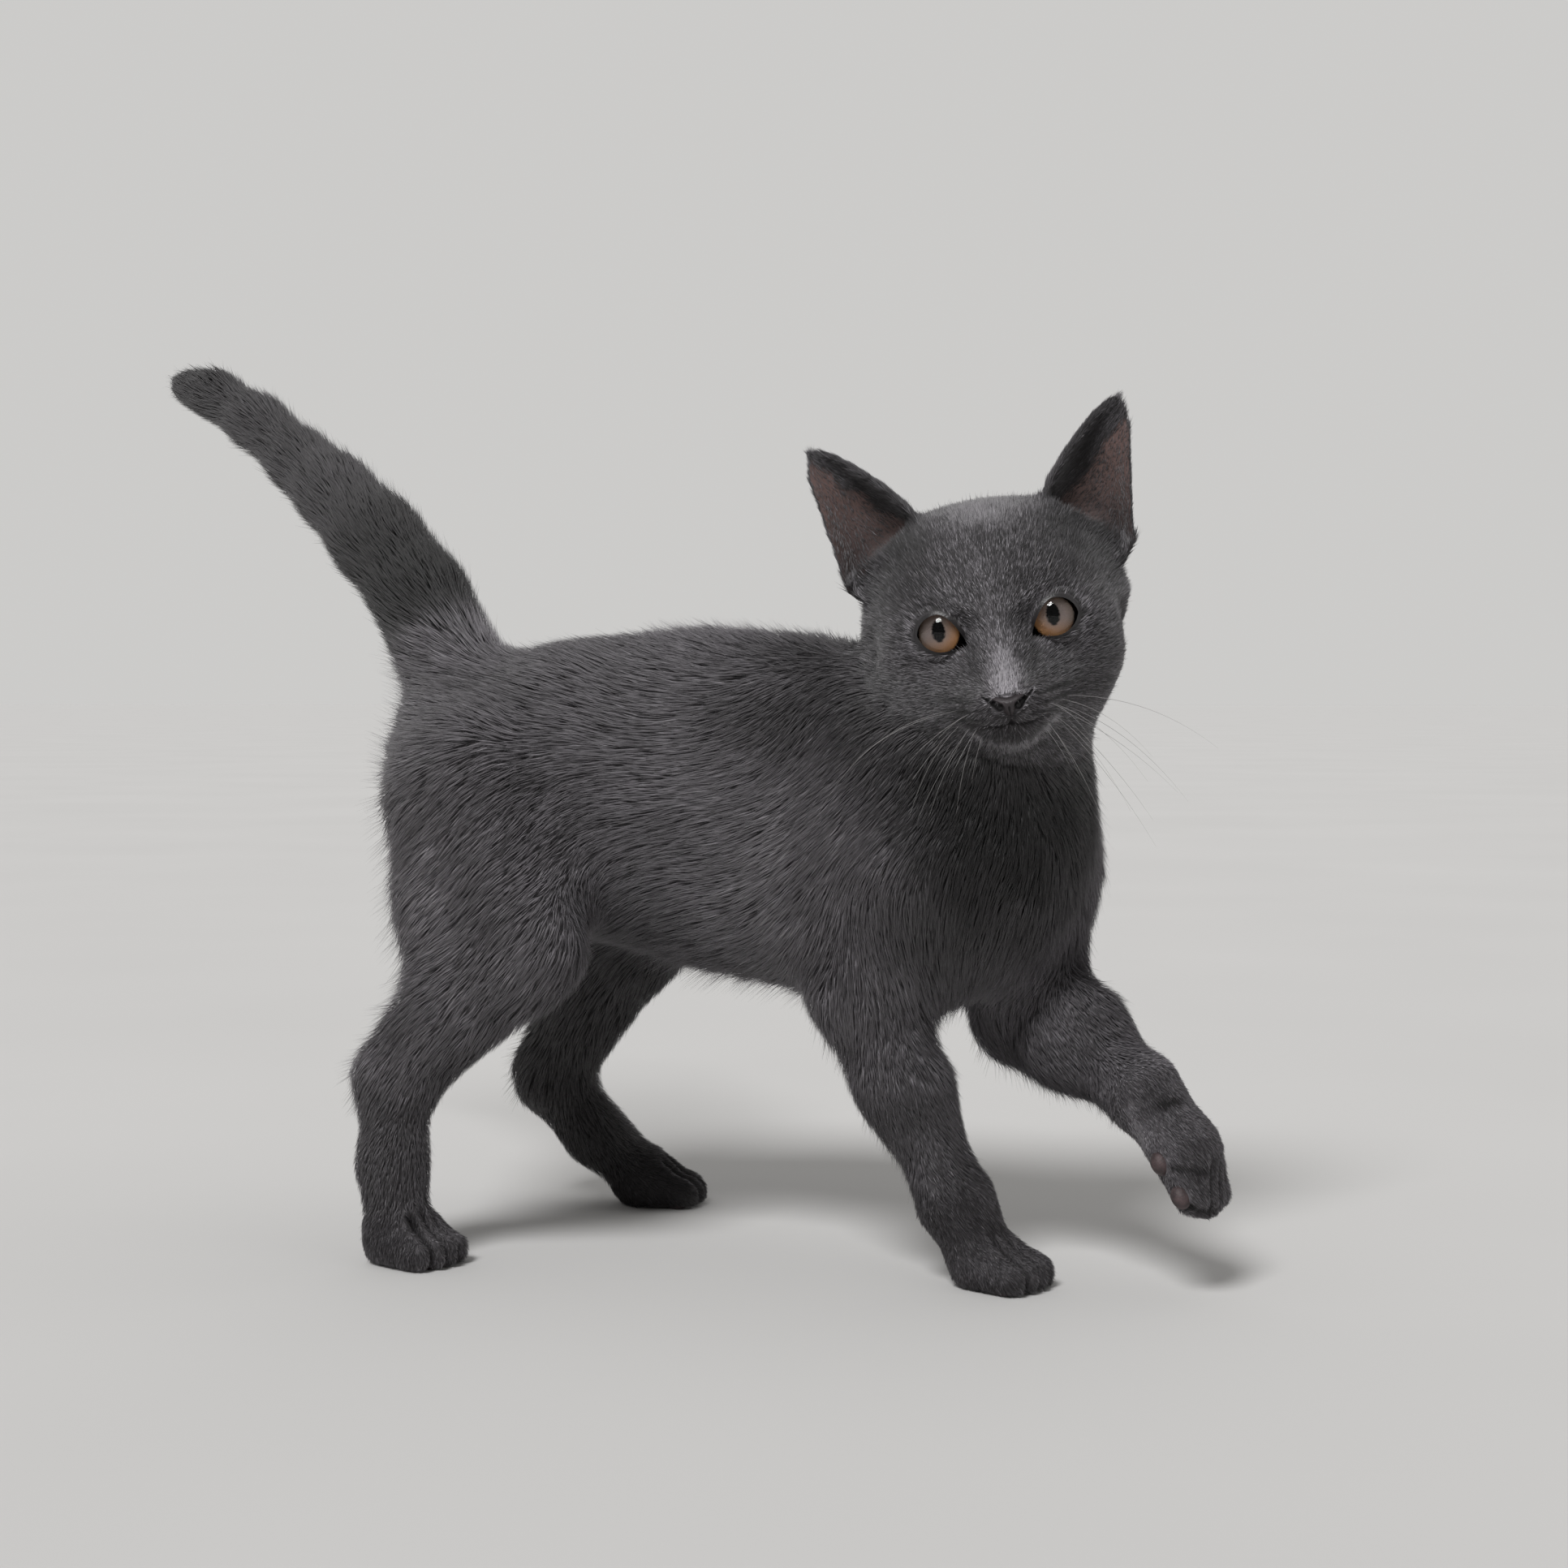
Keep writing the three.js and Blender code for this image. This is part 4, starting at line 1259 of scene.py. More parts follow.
    def curled_toe(self, local: Array) -> Array:
        """The fold where the outer toe of the raised paw lies over the longer ones behind it.

        Args:
            local: Points in the paw's own frame.

        Returns:
            1 in the fold, falling to 0 beside it.
        """
        ahead, aside, above = local.T
        ring = bump(np.hypot(ahead - 9.7, above - 2.3) - 9.2, 0.9)
        return ring * ramp(aside, -1, -4) * ramp(ahead, 9.5, 12.5)

    def clear_pads(self, name: str, local: Array) -> None:
        """Notes where the bare pads of a paw leave no room for tufts.

        Args:
            name: The paw's node.
            local: The skin's points in the paw's own frame.
        """
        for at, half in Pads.shapes(name):
            apart = np.linalg.norm((local - np.array(at)) / (np.array(half) + 0.6), axis=1)
            self.padded = np.maximum(self.padded, ramp(apart, 1.15, 0.9) * self.belongs(name))

    def lid_change(self, head: Array, side: Side) -> Array:
        """How far the lids of one eye move each point.

        Args:
            head: Points in the head frame.
            side: Which eye.

        Returns:
            The moves, in the head frame.
        """
        away = head - self.opening.centre(side)
        distance = np.linalg.norm(away, axis=1)
        over = self.opening.radius + self.lid - distance
        lift = 0.5 * (over + np.sqrt(over**2 + 0.35))
        forward = ramp(away[:, 0] / np.maximum(distance, 1e-6), 0.15, 0.5)
        near = ramp(distance, 14, 10.5)
        gap = self.opening.gap_to(head, side)
        fold = 0.15 * bump(gap - 2.8, 0.8) * ramp(away[:, 2], 0, 4)
        margin = 0.2 * bump(gap - 0.4, 0.6)
        change = (lift * near + margin * near - fold) * forward
        return change[:, None] * away / np.maximum(distance, 1e-6)[:, None]

    def grow(self, surface: Surface) -> None:
        """Works out the coat's lie, length, width and tone at every point.

        Args:
            surface: The surface.
        """
        self.normals = surface.normals()
        head = to_head(surface.points)
        self.measure_coat(surface, head)
        self.density *= 1 - self.bare_places(surface, head)
        sole = ramp(-self.normals[:, 2], 0.75, 0.95) * self.belongs("hindpaw", "forepaw_right")
        self.density *= 1 - 0.9 * sole
        self.fray = self.loose_edges()
        self.flow = self.lie_of_coat(surface, head)
        self.tone = Markings(self, surface).tone()
        mesh = surface.item.data
        set_attribute(mesh, "tone", self.tone - 0.04)
        set_attribute(mesh, "bare", 0.95 * self.inner_ear * (0.3 + 0.7 * ramp(head[:, 2], 22, 46)))
        set_attribute(mesh, "rim", np.clip(np.maximum(self.rim, 0.7 * self.lips), 0, 1))

    def measure_coat(self, surface: Surface, head: Array) -> None:
        """Works out the coat's length, width, depth, clumping and density before bare places.

        It is shortest on the muzzle and the toes, and longest before the ears and on the crown.

        Args:
            surface: The surface.
            head: Its points in the head frame.
        """
        self.length = surface.blurred(self.measure("length"), 30)
        self.width = surface.blurred(self.measure("width"), 14)
        self.depth = surface.blurred(self.measure("depth"), 30)
        self.clump = surface.blurred(self.measure("clump"), 14)
        self.density = surface.blurred(self.measure("density"), 8)
        left, up = head[:, 1:].T
        face, muzzle = self.on_front(head), self.on_front(head, -4, 3)
        at_ear = self.ear_tufts.at(left, up) * self.belongs("head")
        crown = bump(left / 14, 1.0) * ramp(up, 22, 32) * self.belongs("head")
        self.length *= (1 - 0.35 * face) * (1 - 0.3 * muzzle) * (1 + 0.6 * at_ear + 0.5 * crown)
        self.length *= 1 - 0.5 * self.near_crease
        self.depth *= (1 + 0.3 * at_ear + 0.5 * crown) * (1 - 0.5 * self.near_crease)
        self.depth *= (1 - 0.42 * face) * (1 - 0.3 * muzzle)

    def bare_places(self, surface: Surface, head: Array) -> Array:
        """Finds the insides of the ears, which it thins out, and where no hair grows at all.

        Args:
            surface: The surface.
            head: Its points in the head frame.

        Returns:
            How bare each point is: lids, lips, nose, creases and pads.
        """
        left, up = head[:, 1:].T
        facing = self.belongs("ear") * ramp(self.normals @ HEAD_AXES[0], -0.1, 0.25)
        facing = surface.blurred(facing, 10)
        inner_edge = np.abs(left) - 17 - (up - 33) * 1.03 + 3 * noise(surface.points, 5, 9)
        self.inner_ear = ramp(facing, 0.55, 0.85) * ramp(inner_edge, 4, 8)
        self.density *= 1 - 0.75 * self.inner_ear
        self.length *= 1 + 0.5 * self.belongs("ear") * ramp(facing, 0.05, 0.4) * (1 - self.inner_ear)
        leather = ramp(Muzzle.nose_oval(left, up, 5.4, 2.7), 1.0, 0.85) * self.on_front(head)
        return np.maximum.reduce([self.rim, 0.7 * self.lips, leather, 0.9 * self.creases, self.padded])

    def loose_edges(self) -> Array:
        """Where the hair stands off the body in loose fringes.

        Returns:
            A share from 0 to 1 at each point.
        """
        behind = self.belongs("hips", "thigh", "shin") * ramp(-self.normals[:, 0], 0.1, 0.8)
        below = self.belongs("chest", "abdomen", "upper_arm", "forearm") * ramp(-self.normals[:, 2], 0.2, 0.8)
        over = 0.4 * self.belongs("neck", "chest", "abdomen", "tail") * ramp(self.normals[:, 2], 0.5, 0.9)
        return np.maximum.reduce([behind, below, over])

    def lie_of_coat(self, surface: Surface, head: Array) -> Array:
        """The direction in which the hair lies.

        On the head it runs from the nose backward, and behind the ears down to the neck.

        Args:
            surface: The surface.
            head: Its points in the head frame.

        Returns:
            A unit vector along the surface at each point.
        """
        ways = []
        for node in FLESH:
            start, end = (cad_centre(name) for name in LIES[node].run)
            ways.append(unit(end - start) - np.array([LIES[node].back, 0, LIES[node].down]))
        flow = np.array(ways)[self.owner]
        from_nose = unit(surface.points - from_head([9.0, 0, -22]))
        to_neck = unit(cad_centre("chest") - cad_centre("head")) - np.array([0, 0, 0.4])
        behind = ramp(head[:, 0], -28, -48)[:, None]
        on_head = self.belongs("head")
        flow[on_head] = ((1 - behind) * from_nose + behind * to_neck)[on_head]
        flow = across(flow, self.normals)
        smooth = surface.blurred(flow, 40)
        smoother = surface.blurred(smooth, 400)
        small = self.belongs("head", "ear", "forepaw", "hindpaw")[:, None]
        smooth = np.where(small, smooth, smoother)
        keep = self.on_front(head, -40, -25)[:, None]
        flow = flow * keep + smooth * (1 - keep)
        return across(flow, self.normals)


@dataclass
class Markings:
    """How light the coat is at each point of the skin, from near black at 0 to silver at 1: its markings,
    with painted shade and painted highlights added.
    """

    skin: Skin
    surface: Surface
    ground: float = 0.53
    cheeks: Patch = Patch(34.0, -8.0, 8.0, 14.0, 0.03)
    whisker_pads: Patch = Patch(9.0, -24.0, 5.0, 3.5, 0.12)
    brows: Patch = Patch(17.0, 10.0, 8.0, 4.0, 0.02)
    ear_bases: Patch = Patch(24.0, 26.0, 9.0, 8.0, -0.24)
    temples: Patch = Patch(27.0, 13.0, 8.0, 9.0, -0.16)
    # Pale fur down the bridge of the nose, lightened further by a painted highlight.
    bridge: float = 0.46
    # Painted shade down both sides of the bridge of the nose, from the inner corners of the eyes.
    tears: float = 0.2
    whisker_rows: tuple[float, float, float] = (-20.6, 2.7, 0.55)  # height, spacing and half-width
    # Painted highlight along the wet outer rims of the lower lids.
    lid_rim: float = 0.3
    # Pale fur along the chin's rim, lightened further by painted light, as the rim faces down.
    fringe: float = 1.35
    lower_lip: float = 0.16
    crown: float = 0.52
    # Painted shadow that the head casts under the chin and on the chest: its strength, and the middle and
    # size of its darkest part.
    throat: float = 0.52
    breast: tuple[float, float, float] = (124.0, -38.0, 122.0)  # middle of the darkest painted shadow, in the hollow between shoulder and chest
    breast_size: tuple[float, float, float] = (15.0, 22.0, 28.0)
    far_leg: float = 0.38  # the shaded inside of the left hind leg
    # Painted shade in the creases between the toes.
    creases: float = 0.7
    inner_ears: float = 0.18

    def tone(self) -> Array:
        """Works out the tone.

        Returns:
            One value a point.
        """
        self.places = self.surface.points
        self.head = to_head(self.places)
        self.ahead = self.skin.normals @ HEAD_AXES[0]  # how far the skin faces the way the head does
        tone = self.ground + self.surface.blurred(self.skin.measure("tone"), 120)
        tone += 0.06 * noise(self.places, 22, 1) + 0.05 * noise(self.places, 7, 2)
        # Painted shade: skin that faces down is darkened, as if shadowed from above.
        tone -= 0.06 * ramp(-self.skin.normals[:, 2], 0.1, 0.8)
        parts = (self.on_tail, self.on_face, self.on_chin, self.on_head, self.on_throat, self.on_legs)
        return tone + sum(part() for part in parts) + self.on_raised_paw() + self.where_bare()

    def soft(self, inside: Array, rounds: int) -> Array:
        """A region with a soft edge."""
        return self.surface.blurred(inside.astype(float), rounds)

    def on_tail(self) -> Array:
        """The tail, darkest at its root and a little darker at its tip.

        Returns:
            The change of tone.
        """
        root, tip = (cad_centre(node) for node in ("tail_base", "tail_tip"))
        along = (self.places - root) @ unit(tip - root) / np.linalg.norm(tip - root)
        shade = 0.1 + 0.4 * ramp(along, 0.3, -0.2) + 0.08 * ramp(along, 0.7, 1.1)
        return -self.soft(self.skin.belongs("tail"), 20) * shade

    def on_face(self) -> Array:
        """The pale bridge of the nose, lighter fur with a painted highlight on it, painted shade beside the
        bridge, rows on the whisker pads, and a painted highlight on the wet outer rims of the lower lids.

        Returns:
            The change of tone.
        """
        left, up = self.head[:, 1:].T
        aside = np.abs(left)
        # Pale bridge of the nose: lighter fur with a painted highlight.
        bridge = bump(left, 3.2 + 2.6 * ramp(up, -8, -20)) * ramp(up, -4.5, -9) * ramp(up, -22.6, -21.6)
        # Painted shade beside the bridge of the nose.
        tears = bump(aside - 8.8 - 0.12 * (up + 6), 1.7) * ramp(up, -3.5, -7) * ramp(up, -18, -13)
        tone = self.bridge * bridge - self.tears * tears - 0.03
        tone += sum(patch.at(left, up) for patch in (self.cheeks, self.whisker_pads, self.brows))
        height, spacing, half = self.whisker_rows
        rows = sum(
            bump(up - height + spacing * row - 0.1 * (aside - 12), half) * bump(aside - 14 + 1.2 * row, 4.6)
            for row in range(3)
        )
        tone -= 1.1 * rows * (0.75 + 0.25 * noise(self.places, 2.2, 15))
        for side in Side:
            gap = self.skin.opening.gap_to(self.head, side)
            # Painted highlight on the wet outer rim of the lower lid.
            tone += self.lid_rim * bump(gap - 2.1, 0.5) * ramp(side.value * left - up, 14, 20)
        return self.skin.on_front(self.head) * tone

    def on_chin(self) -> Array:
        """The broken pale fringe along the chin's rim, lightened further as painted light on its downward
        face, and the darker lower lip.

        Returns:
            The change of tone.
        """
        left, up = self.head[:, 1:].T
        rim, mouth = Muzzle.chin(left), Muzzle.mouth(left)
        # Pale fur along the chin's rim, with painted light added.
        fringe = bump(up - rim - 0.8, 1.1) * ramp(np.abs(left), 17, 11)
        fringe = fringe * np.clip(0.55 + 0.9 * noise(self.places, 0.8, 16), 0, 1.3)
        lip = ramp(up, mouth, mouth - 1) * ramp(up, rim, rim + 2) * bump(left, 11)
        return self.skin.on_front(self.head, -8, -2) * (self.fringe * fringe - self.lower_lip * lip)

    def on_head(self) -> Array:
        """The silver crown, and the dark brow, temples and bases of the ears.

        Returns:
            The change of tone.
        """
        forward, left, up = self.head.T
        tone = self.crown * bump(left / 13, 1.0) * ramp(up, 24, 34) - 0.1 * ramp(up, 4, 12)
        tone += self.ear_bases.at(left, up) + self.temples.at(left, up) + 0.05 * ramp(forward, -30, -45)
        return self.soft(self.skin.belongs("head"), 24) * tone

    def on_throat(self) -> Array:
        """Painted shadow of the head under the chin, on the neck and chest, mottled at random, and darkest in
        the hollow beside the shoulder.

        Returns:
            The change of tone.
        """
        left, up = self.head[:, 1:].T
        front = self.skin.belongs("neck", "chest", "upper_arm_right") * ramp(self.ahead, -0.2, 0.5)
        front = front * ramp(up, -26, -40) * bump((left - 2) / 26, 1.0) * ramp(up, -110, -60)
        away = np.linalg.norm((self.places - np.array(self.breast)) / np.array(self.breast_size), axis=1)
        # Strength of the painted shadow, varied at random, plus a darker painted shadow in the hollow beside
        # the shoulder.
        mottle = self.throat + 0.26 * noise(self.places, 6, 14)
        return -self.surface.blurred(front, 10) * mottle - 0.3 * bump(away, 1.0)

    def on_legs(self) -> Array:
        """Mottled legs and chest, painted shade on the inside of the left hind leg, and painted light on the
        raised foreleg.

        Returns:
            The change of tone.
        """
        skin = self.skin
        far_leg = skin.belongs("thigh_left", "shin_left", "hock_left", "hindpaw_left")
        # Painted shade on the inside of the left hind leg.
        inner = self.surface.blurred(far_leg * ramp(-skin.normals[:, 1], -0.2, 0.5), 10)
        mottled = self.soft(skin.belongs("upper_arm", "forearm", "chest", "neck", "thigh", "shin"), 10)
        # Painted light on the raised foreleg.
        raised = self.soft(skin.belongs("forepaw_left", "forearm_left"), 12)
        return 0.07 * mottled * noise(self.places, 11, 12) + 0.1 * raised - self.far_leg * inner

    def on_raised_paw(self) -> Array:
        """Painted shade in the folds over the wrist and knuckles of the raised paw, and the pale streak under
        its wrist.

        Returns:
            The change of tone.
        """
        ahead, aside, above = PAWS["forepaw_left"].local(self.places).T
        raised = self.skin.belongs("forepaw_left", "forearm_left") * ramp(aside, 2, -3)
        knuckles = bump(ahead - 5.1 - 0.56 * above, 0.9) * ramp(above, -5.5, -4) * ramp(above, 5.5, 4)
        wrist = bump(ahead + 15.9 - 0.14 * above, 1.2) * bump(above - 2.8, 3.4)
        streak = bump(ahead + 11.8, 6.5) * bump(above + 9.2, 2.6)
        # Painted shade in the knuckle and wrist folds.
        return raised * (0.35 * streak - 0.5 * knuckles - 0.55 * wrist)

    def where_bare(self) -> Array:
        """Painted shade in the creases between the toes, and the insides and front edges of the ears.

        Returns:
            The change of tone.
        """
        skin = self.skin
        edge = self.soft(skin.belongs("ear"), 4) * (1 - skin.inner_ear) * ramp(self.ahead, -0.3, 0.2)
        # Painted shade in the creases between the toes.
        return -self.creases * skin.creases - self.inner_ears * skin.inner_ear - 0.16 * edge


# ------------ Eyes, nose, pads and whiskers ------------


def ball(rings: int, around: int) -> tuple[Array, list]:
    """A unit sphere whose poles lie on the x axis.

    Args:
        rings: Rings between the poles.
        around: Points on each ring.

    Returns:
        Its points and its faces.
    """
    tilt = np.linspace(0, math.pi, rings + 2)[1:-1]
    turn = np.linspace(0, 2 * math.pi, around, endpoint=False)
    body = np.stack(
        [
            np.repeat(np.cos(tilt), around),
            np.outer(np.sin(tilt), np.cos(turn)).ravel(),
            np.outer(np.sin(tilt), np.sin(turn)).ravel(),
        ],
        1,
    )
    points = np.concatenate([[[1, 0, 0]], body, [[-1, 0, 0]]])
    last = len(points) - 1
    faces = []
    for k in range(around):
        after = (k + 1) % around
        faces.append((0, 1 + k, 1 + after))
        for ring in range(rings - 1):
            a, b = 1 + ring * around + k, 1 + ring * around + after
            faces.append((a, a + around, b + around, b))
        faces.append((last, last - around + after, last - around + k))
    return points, faces


@dataclass
class Eyes:
    """Two eyes, each an eyeball with a sunk iris behind a clear cornea."""

    opening: EyeOpening = field(default_factory=EyeOpening)
    iris_radius: float = 6.2
    iris_depth: float = 3.2  # from the front of the cornea to the iris
    pupil: tuple[float, float] = (1.8, 3.0)  # half its width and height
    pupil_up: float = 0.7
    gaze: tuple[float, float] = (-9.0, -0.5)  # degrees to its left that the right and left eye turn
    dish: float = 0.4  # how far the iris's edge lies behind its middle
    lilac_rise: float = 1.2  # the iris turns lilac outward and, by this much more, upward
    film: float = 0.05  # space between eyeball and cornea
    iris_finish: IrisAndPupil = field(default_factory=IrisAndPupil)
    cornea_finish: CorneaFilm = field(default_factory=CorneaFilm)

    def build(self) -> list[Object]:
        """Builds both eyes.

        Returns:
            The new pieces.
        """
        pieces = []
        iris, cornea = self.iris_finish.material(), self.cornea_finish.material()
        for side in Side:
            for make, finish in ((self.eyeball, iris), (self.cornea, cornea)):
                piece = make(side)
                piece.data.materials.append(finish)
                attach(piece, BODY)
                pieces.append(piece)
            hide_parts(f"eye_{side.word}")
            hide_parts(f"eye_{side.word}")
        return pieces

    def eyeball(self, side: Side) -> Object:
        """Builds an eyeball with its iris sunk behind the cornea's front.

        Args:
            side: Which eye.

        Returns:
            The new piece.
        """
        points, faces = ball(60, 96)
        radius = self.opening.radius - self.film
        shape = points * radius
        out = np.hypot(shape[:, 1], shape[:, 2])
        front = shape[:, 0] > 0
        sunk = self.opening.radius - self.iris_depth - self.dish * (out / self.iris_radius) ** 2
        within = front & (out < self.iris_radius)
        shape[within, 0] = np.minimum(shape[within, 0], sunk[within])
        wide, tall = self.pupil
        oval = np.hypot(shape[:, 1] / wide, (shape[:, 2] - self.pupil_up) / tall)
        pupil = np.where(front, ramp(oval, 1.06, 0.96), 0)
        x, y, z = shape.T
        # Share toward the lilac-grey top of the iris, which carries painted shade of the lid.
        lilac = (side.value * y + self.lilac_rise * z) / math.hypot(1, self.lilac_rise) / self.iris_radius
        gaze = math.radians(self.gaze[side is Side.LEFT])
        ahead = x * math.cos(gaze) - y * math.sin(gaze)
        left = x * math.sin(gaze) + y * math.cos(gaze)
        turned = np.stack([ahead, left, z], 1) + self.opening.centre(side)
        item = make_object(f"eyeball_{side.word}", from_head(turned), faces)
        reach = np.where(front, np.clip(out / (self.iris_radius * 1.04), 0, 1), 1.0)
        set_attribute(item.data, "out", reach)
        set_attribute(item.data, "turn", np.abs(np.arctan2(y, -z)))
        set_attribute(item.data, "height", 0.5 + 0.5 * lilac)
        set_attribute(item.data, "pupil", pupil)
        return item

    def cornea(self, side: Side) -> Object:
        """Builds the clear front of an eye.

        Args:
            side: Which eye.

        Returns:
            The new piece.
        """
        points, faces = ball(48, 72)
        place = from_head(points * self.opening.radius + self.opening.centre(side))
        return make_object(f"cornea_{side.word}", place, faces)


@dataclass
class Nose:
    """The nose leather: a broad bar above, a narrow stem below, and a nostril on each side of it."""

    forward: float = 13.4  # of its middle, in the head frame
    half: tuple[float, float, float] = (4.2, 5.9, 3.9)  # forward, aside, up
    stem_width: float = 0.42  # share of the bar's width
    slit_depth: float = 2.2
    cleft_depth: float = 0.6  # of the groove down the stem
    finish: NoseLeather = field(default_factory=NoseLeather)

    def build(self) -> Object:
        """Builds the nose.

        Returns:
            The new piece.
        """
        points, faces = ball(80, 110)
        x, y, z = (points * np.array(self.half)).T
        y = y * (1 - (1 - self.stem_width) * ramp(z, 1.4, -1.6))
        z = np.where(z > 0, z * (0.8 - 0.28 * bump(y, 3.0)) + 0.4 * bump(np.abs(y) - 4.2, 1.8), z)
        x = x - 0.9 * ramp(z, 1.5, 4.0) - 0.02 * y * y
        slit = Muzzle.slit(y, z + Muzzle.nose)
        cleft = bump(y, 0.28) * ramp(z, -0.2, -1.4)
        front = ramp(x, -1, 1.5)
        x = x - front * (self.slit_depth * slit + self.cleft_depth * cleft)
        shape = np.stack([x + self.forward, y, z + Muzzle.nose], 1)
        item = make_object("nose_leather", from_head(shape), faces)
        set_attribute(item.data, "pit", np.clip(front * (1.2 * slit + 0.7 * cleft), 0, 1))
        item.data.materials.append(self.finish.material())
        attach(item, BODY)
        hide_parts("nose")
        return item


@dataclass
class Pads:
    """The bare pads under the paws, pressed flat where a paw stands."""

    floor_gap: float = 0.1
    finish: PadSkin = field(default_factory=PadSkin)

    @staticmethod
    def shapes(name: str) -> list[tuple[tuple, tuple]]:
        """The pads of one paw.

        Args:
            name: The paw's node.

        Returns:
            Middle and half sizes of each, in the paw's own frame.
        """
        palm = [((2.0, 0.0, -5.2), (4.0, 4.2, 2.6)), ((0.6, 4.6, -4.6), (3.4, 3.2, 2.6))]
        toes = [((13.2 - 1.6 * abs(slot), 5.2 * slot, -5.6), (3.0, 2.4, 2.2)) for slot in (-0.5, 0.5, 1.5)]
        if name == "forepaw_left":
            outer = [((0.3, -8.2, -6.6), (3.8, 3.8, 3.2)), ((11.9, -11.2, -5.6), (3.6, 2.8, 2.8))]
            wrist = [((-20.1, -6.4, -7.2), (1.5, 1.4, 1.5))]
            return palm + toes + outer + wrist
        outer = [((0.6, -4.6, -4.6), (3.4, 3.2, 2.6)), ((10.8, -7.8, -5.6), (3.0, 2.4, 2.2))]
        return palm + toes + outer

    def build(self) -> Object:
        """Builds all pads as one piece.

        Returns:
            The new piece.
        """
        sphere, rings = ball(14, 20)
        points, faces = [], []
        for name, paw in PAWS.items():
            for at, half in self.shapes(name):
                start = len(points) * len(sphere)
                place = paw.world(sphere * np.array(half) + np.array(at))
                place[:, 2] = np.maximum(place[:, 2], self.floor_gap)
                points.append(place)
                faces += [tuple(corner + start for corner in face) for face in rings]
        item = make_object("pads", np.concatenate(points), faces)
        item.data.materials.append(self.finish.material())
        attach(item, BODY)
        return item


@dataclass
class Whiskers:
    """Long stiff hairs of the muzzle and brows, each a tapered, bending tube."""

    thickness: float = 0.075  # radius at the root
    steps: int = 16
    sides: int = 4
    rows: int = 3
    columns: int = 4
    first: tuple[float, float] = (7.0, -23.6)  # the innermost, topmost root, aside and up
    gaps: tuple[float, float] = (2.2, 2.2)  # from column to column and from row to row
    pad_front: float = 10.0  # of the pad's middle, in the head frame
    pad_curve: float = 0.055
    finish: WhiskerHorn = field(default_factory=WhiskerHorn)
    seed: int = 5

    def build(self) -> Object:
        """Builds all whiskers as one piece.

        Returns:
            The new piece.
        """
        chance = np.random.default_rng(self.seed)
        points, faces, along = [], [], []
        for side in Side:
            for root, way, length, sag in self.muzzle_hairs(side, chance) + self.brow_hairs(side, chance):
                line = self.bent(root, way, length, sag)
                start = len(points) * self.sides * (self.steps + 1)
                ring, ring_faces = self.tube(line, start)
                points.append(ring)
                faces += ring_faces
                along.append(np.repeat(np.linspace(0, 1, self.steps + 1), self.sides))
        item = make_object("whiskers", from_head(np.concatenate(points)), faces)
        set_attribute(item.data, "along", np.concatenate(along))
        item.data.materials.append(self.finish.material())
        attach(item, BODY)
        return item

    def muzzle_hairs(self, side: Side, chance: np.random.Generator) -> list[tuple]:
        """The whiskers of one pad.

        Args:
            side: Which side.
            chance: Source of small differences.

        Returns:
            Root, direction, length and sag of each, in the head frame.
        """
        hairs = []
        for row in range(self.rows):
            for column in range(self.columns):
                aside = self.first[0] + self.gaps[0] * column + chance.uniform(-0.4, 0.4)
                up = self.first[1] - self.gaps[1] * row + 0.2 * column
                root = np.array([self.pad_front - self.pad_curve * aside**2, side.value * aside, up])
                drop = -0.2 - 0.42 * row + chance.uniform(-0.2, 0.2)
                way = unit(np.array([0.5 - 0.14 * column, side.value * (0.65 + 0.1 * column), drop]))
                length = (26 + 9 * column - 2 * row) * chance.uniform(0.65, 1.2)
                hairs.append((root, way, length, chance.uniform(0.15, 0.6)))
        return hairs

    def brow_hairs(self, side: Side, chance: np.random.Generator) -> list[tuple]:
        """The whiskers above one eye.

        Args:
            side: Which side.
            chance: Source of small differences.

        Returns:
            Root, direction, length and sag of each, in the head frame.
        """
        hairs = []
        for k in range(2):
            root = np.array([-3.5, side.value * (13.0 + 2 * k), 9.5 + 0.5 * k])
            way = unit(np.array([0.3, side.value * (0.1 + 0.4 * k), 0.9]))
            hairs.append((root, way, chance.uniform(16, 26), chance.uniform(-0.1, 0.1)))
        return hairs

    def bent(self, root: Array, way: Array, length: float, sag: float) -> Array:
        """The middle line of a hair that bends down evenly.

        Args:
            root: Where it starts.
            way: Its first direction.
            length: Its length.
            sag: How far the tip drops, as a share of the length.

        Returns:
            The line's points.
        """
        t = np.linspace(0, 1, self.steps + 1)[:, None]
        down = np.array([-0.25, 0, -1.0]) * sag
        return root + way * length * t * (1 - 0.12 * t) + down * length * t**2.2

    def tube(self, line: Array, start: int) -> tuple[Array, list]:
        """A tapered tube about a line.

        Args:
            line: Its middle line.
            start: Number of its first vertex.

        Returns:
            Its points and its faces.
        """
        ahead = unit(np.gradient(line, axis=0))
        side = across(np.broadcast_to([0.3, 0.2, 1.0], ahead.shape), ahead)
        other = np.cross(ahead, side)
        radius = self.thickness * (1 - np.linspace(0, 1, len(line)) ** 1.5 * 0.85)
        turn = np.linspace(0, 2 * math.pi, self.sides, endpoint=False)
        ring = np.cos(turn)[None, :, None] * side[:, None] + np.sin(turn)[None, :, None] * other[:, None]
        points = (line[:, None] + radius[:, None, None] * ring).reshape(-1, 3)
        faces = []
        for step in range(len(line) - 1):
            for k in range(self.sides):
                a = start + step * self.sides + k
                b = start + step * self.sides + (k + 1) % self.sides
                faces.append((a, b, b + self.sides, a + self.sides))
        faces.append(tuple(start + k for k in reversed(range(self.sides))))
        faces.append(tuple(start + (len(line) - 1) * self.sides + k for k in range(self.sides)))
        return points, faces


# ------------ Coat ------------


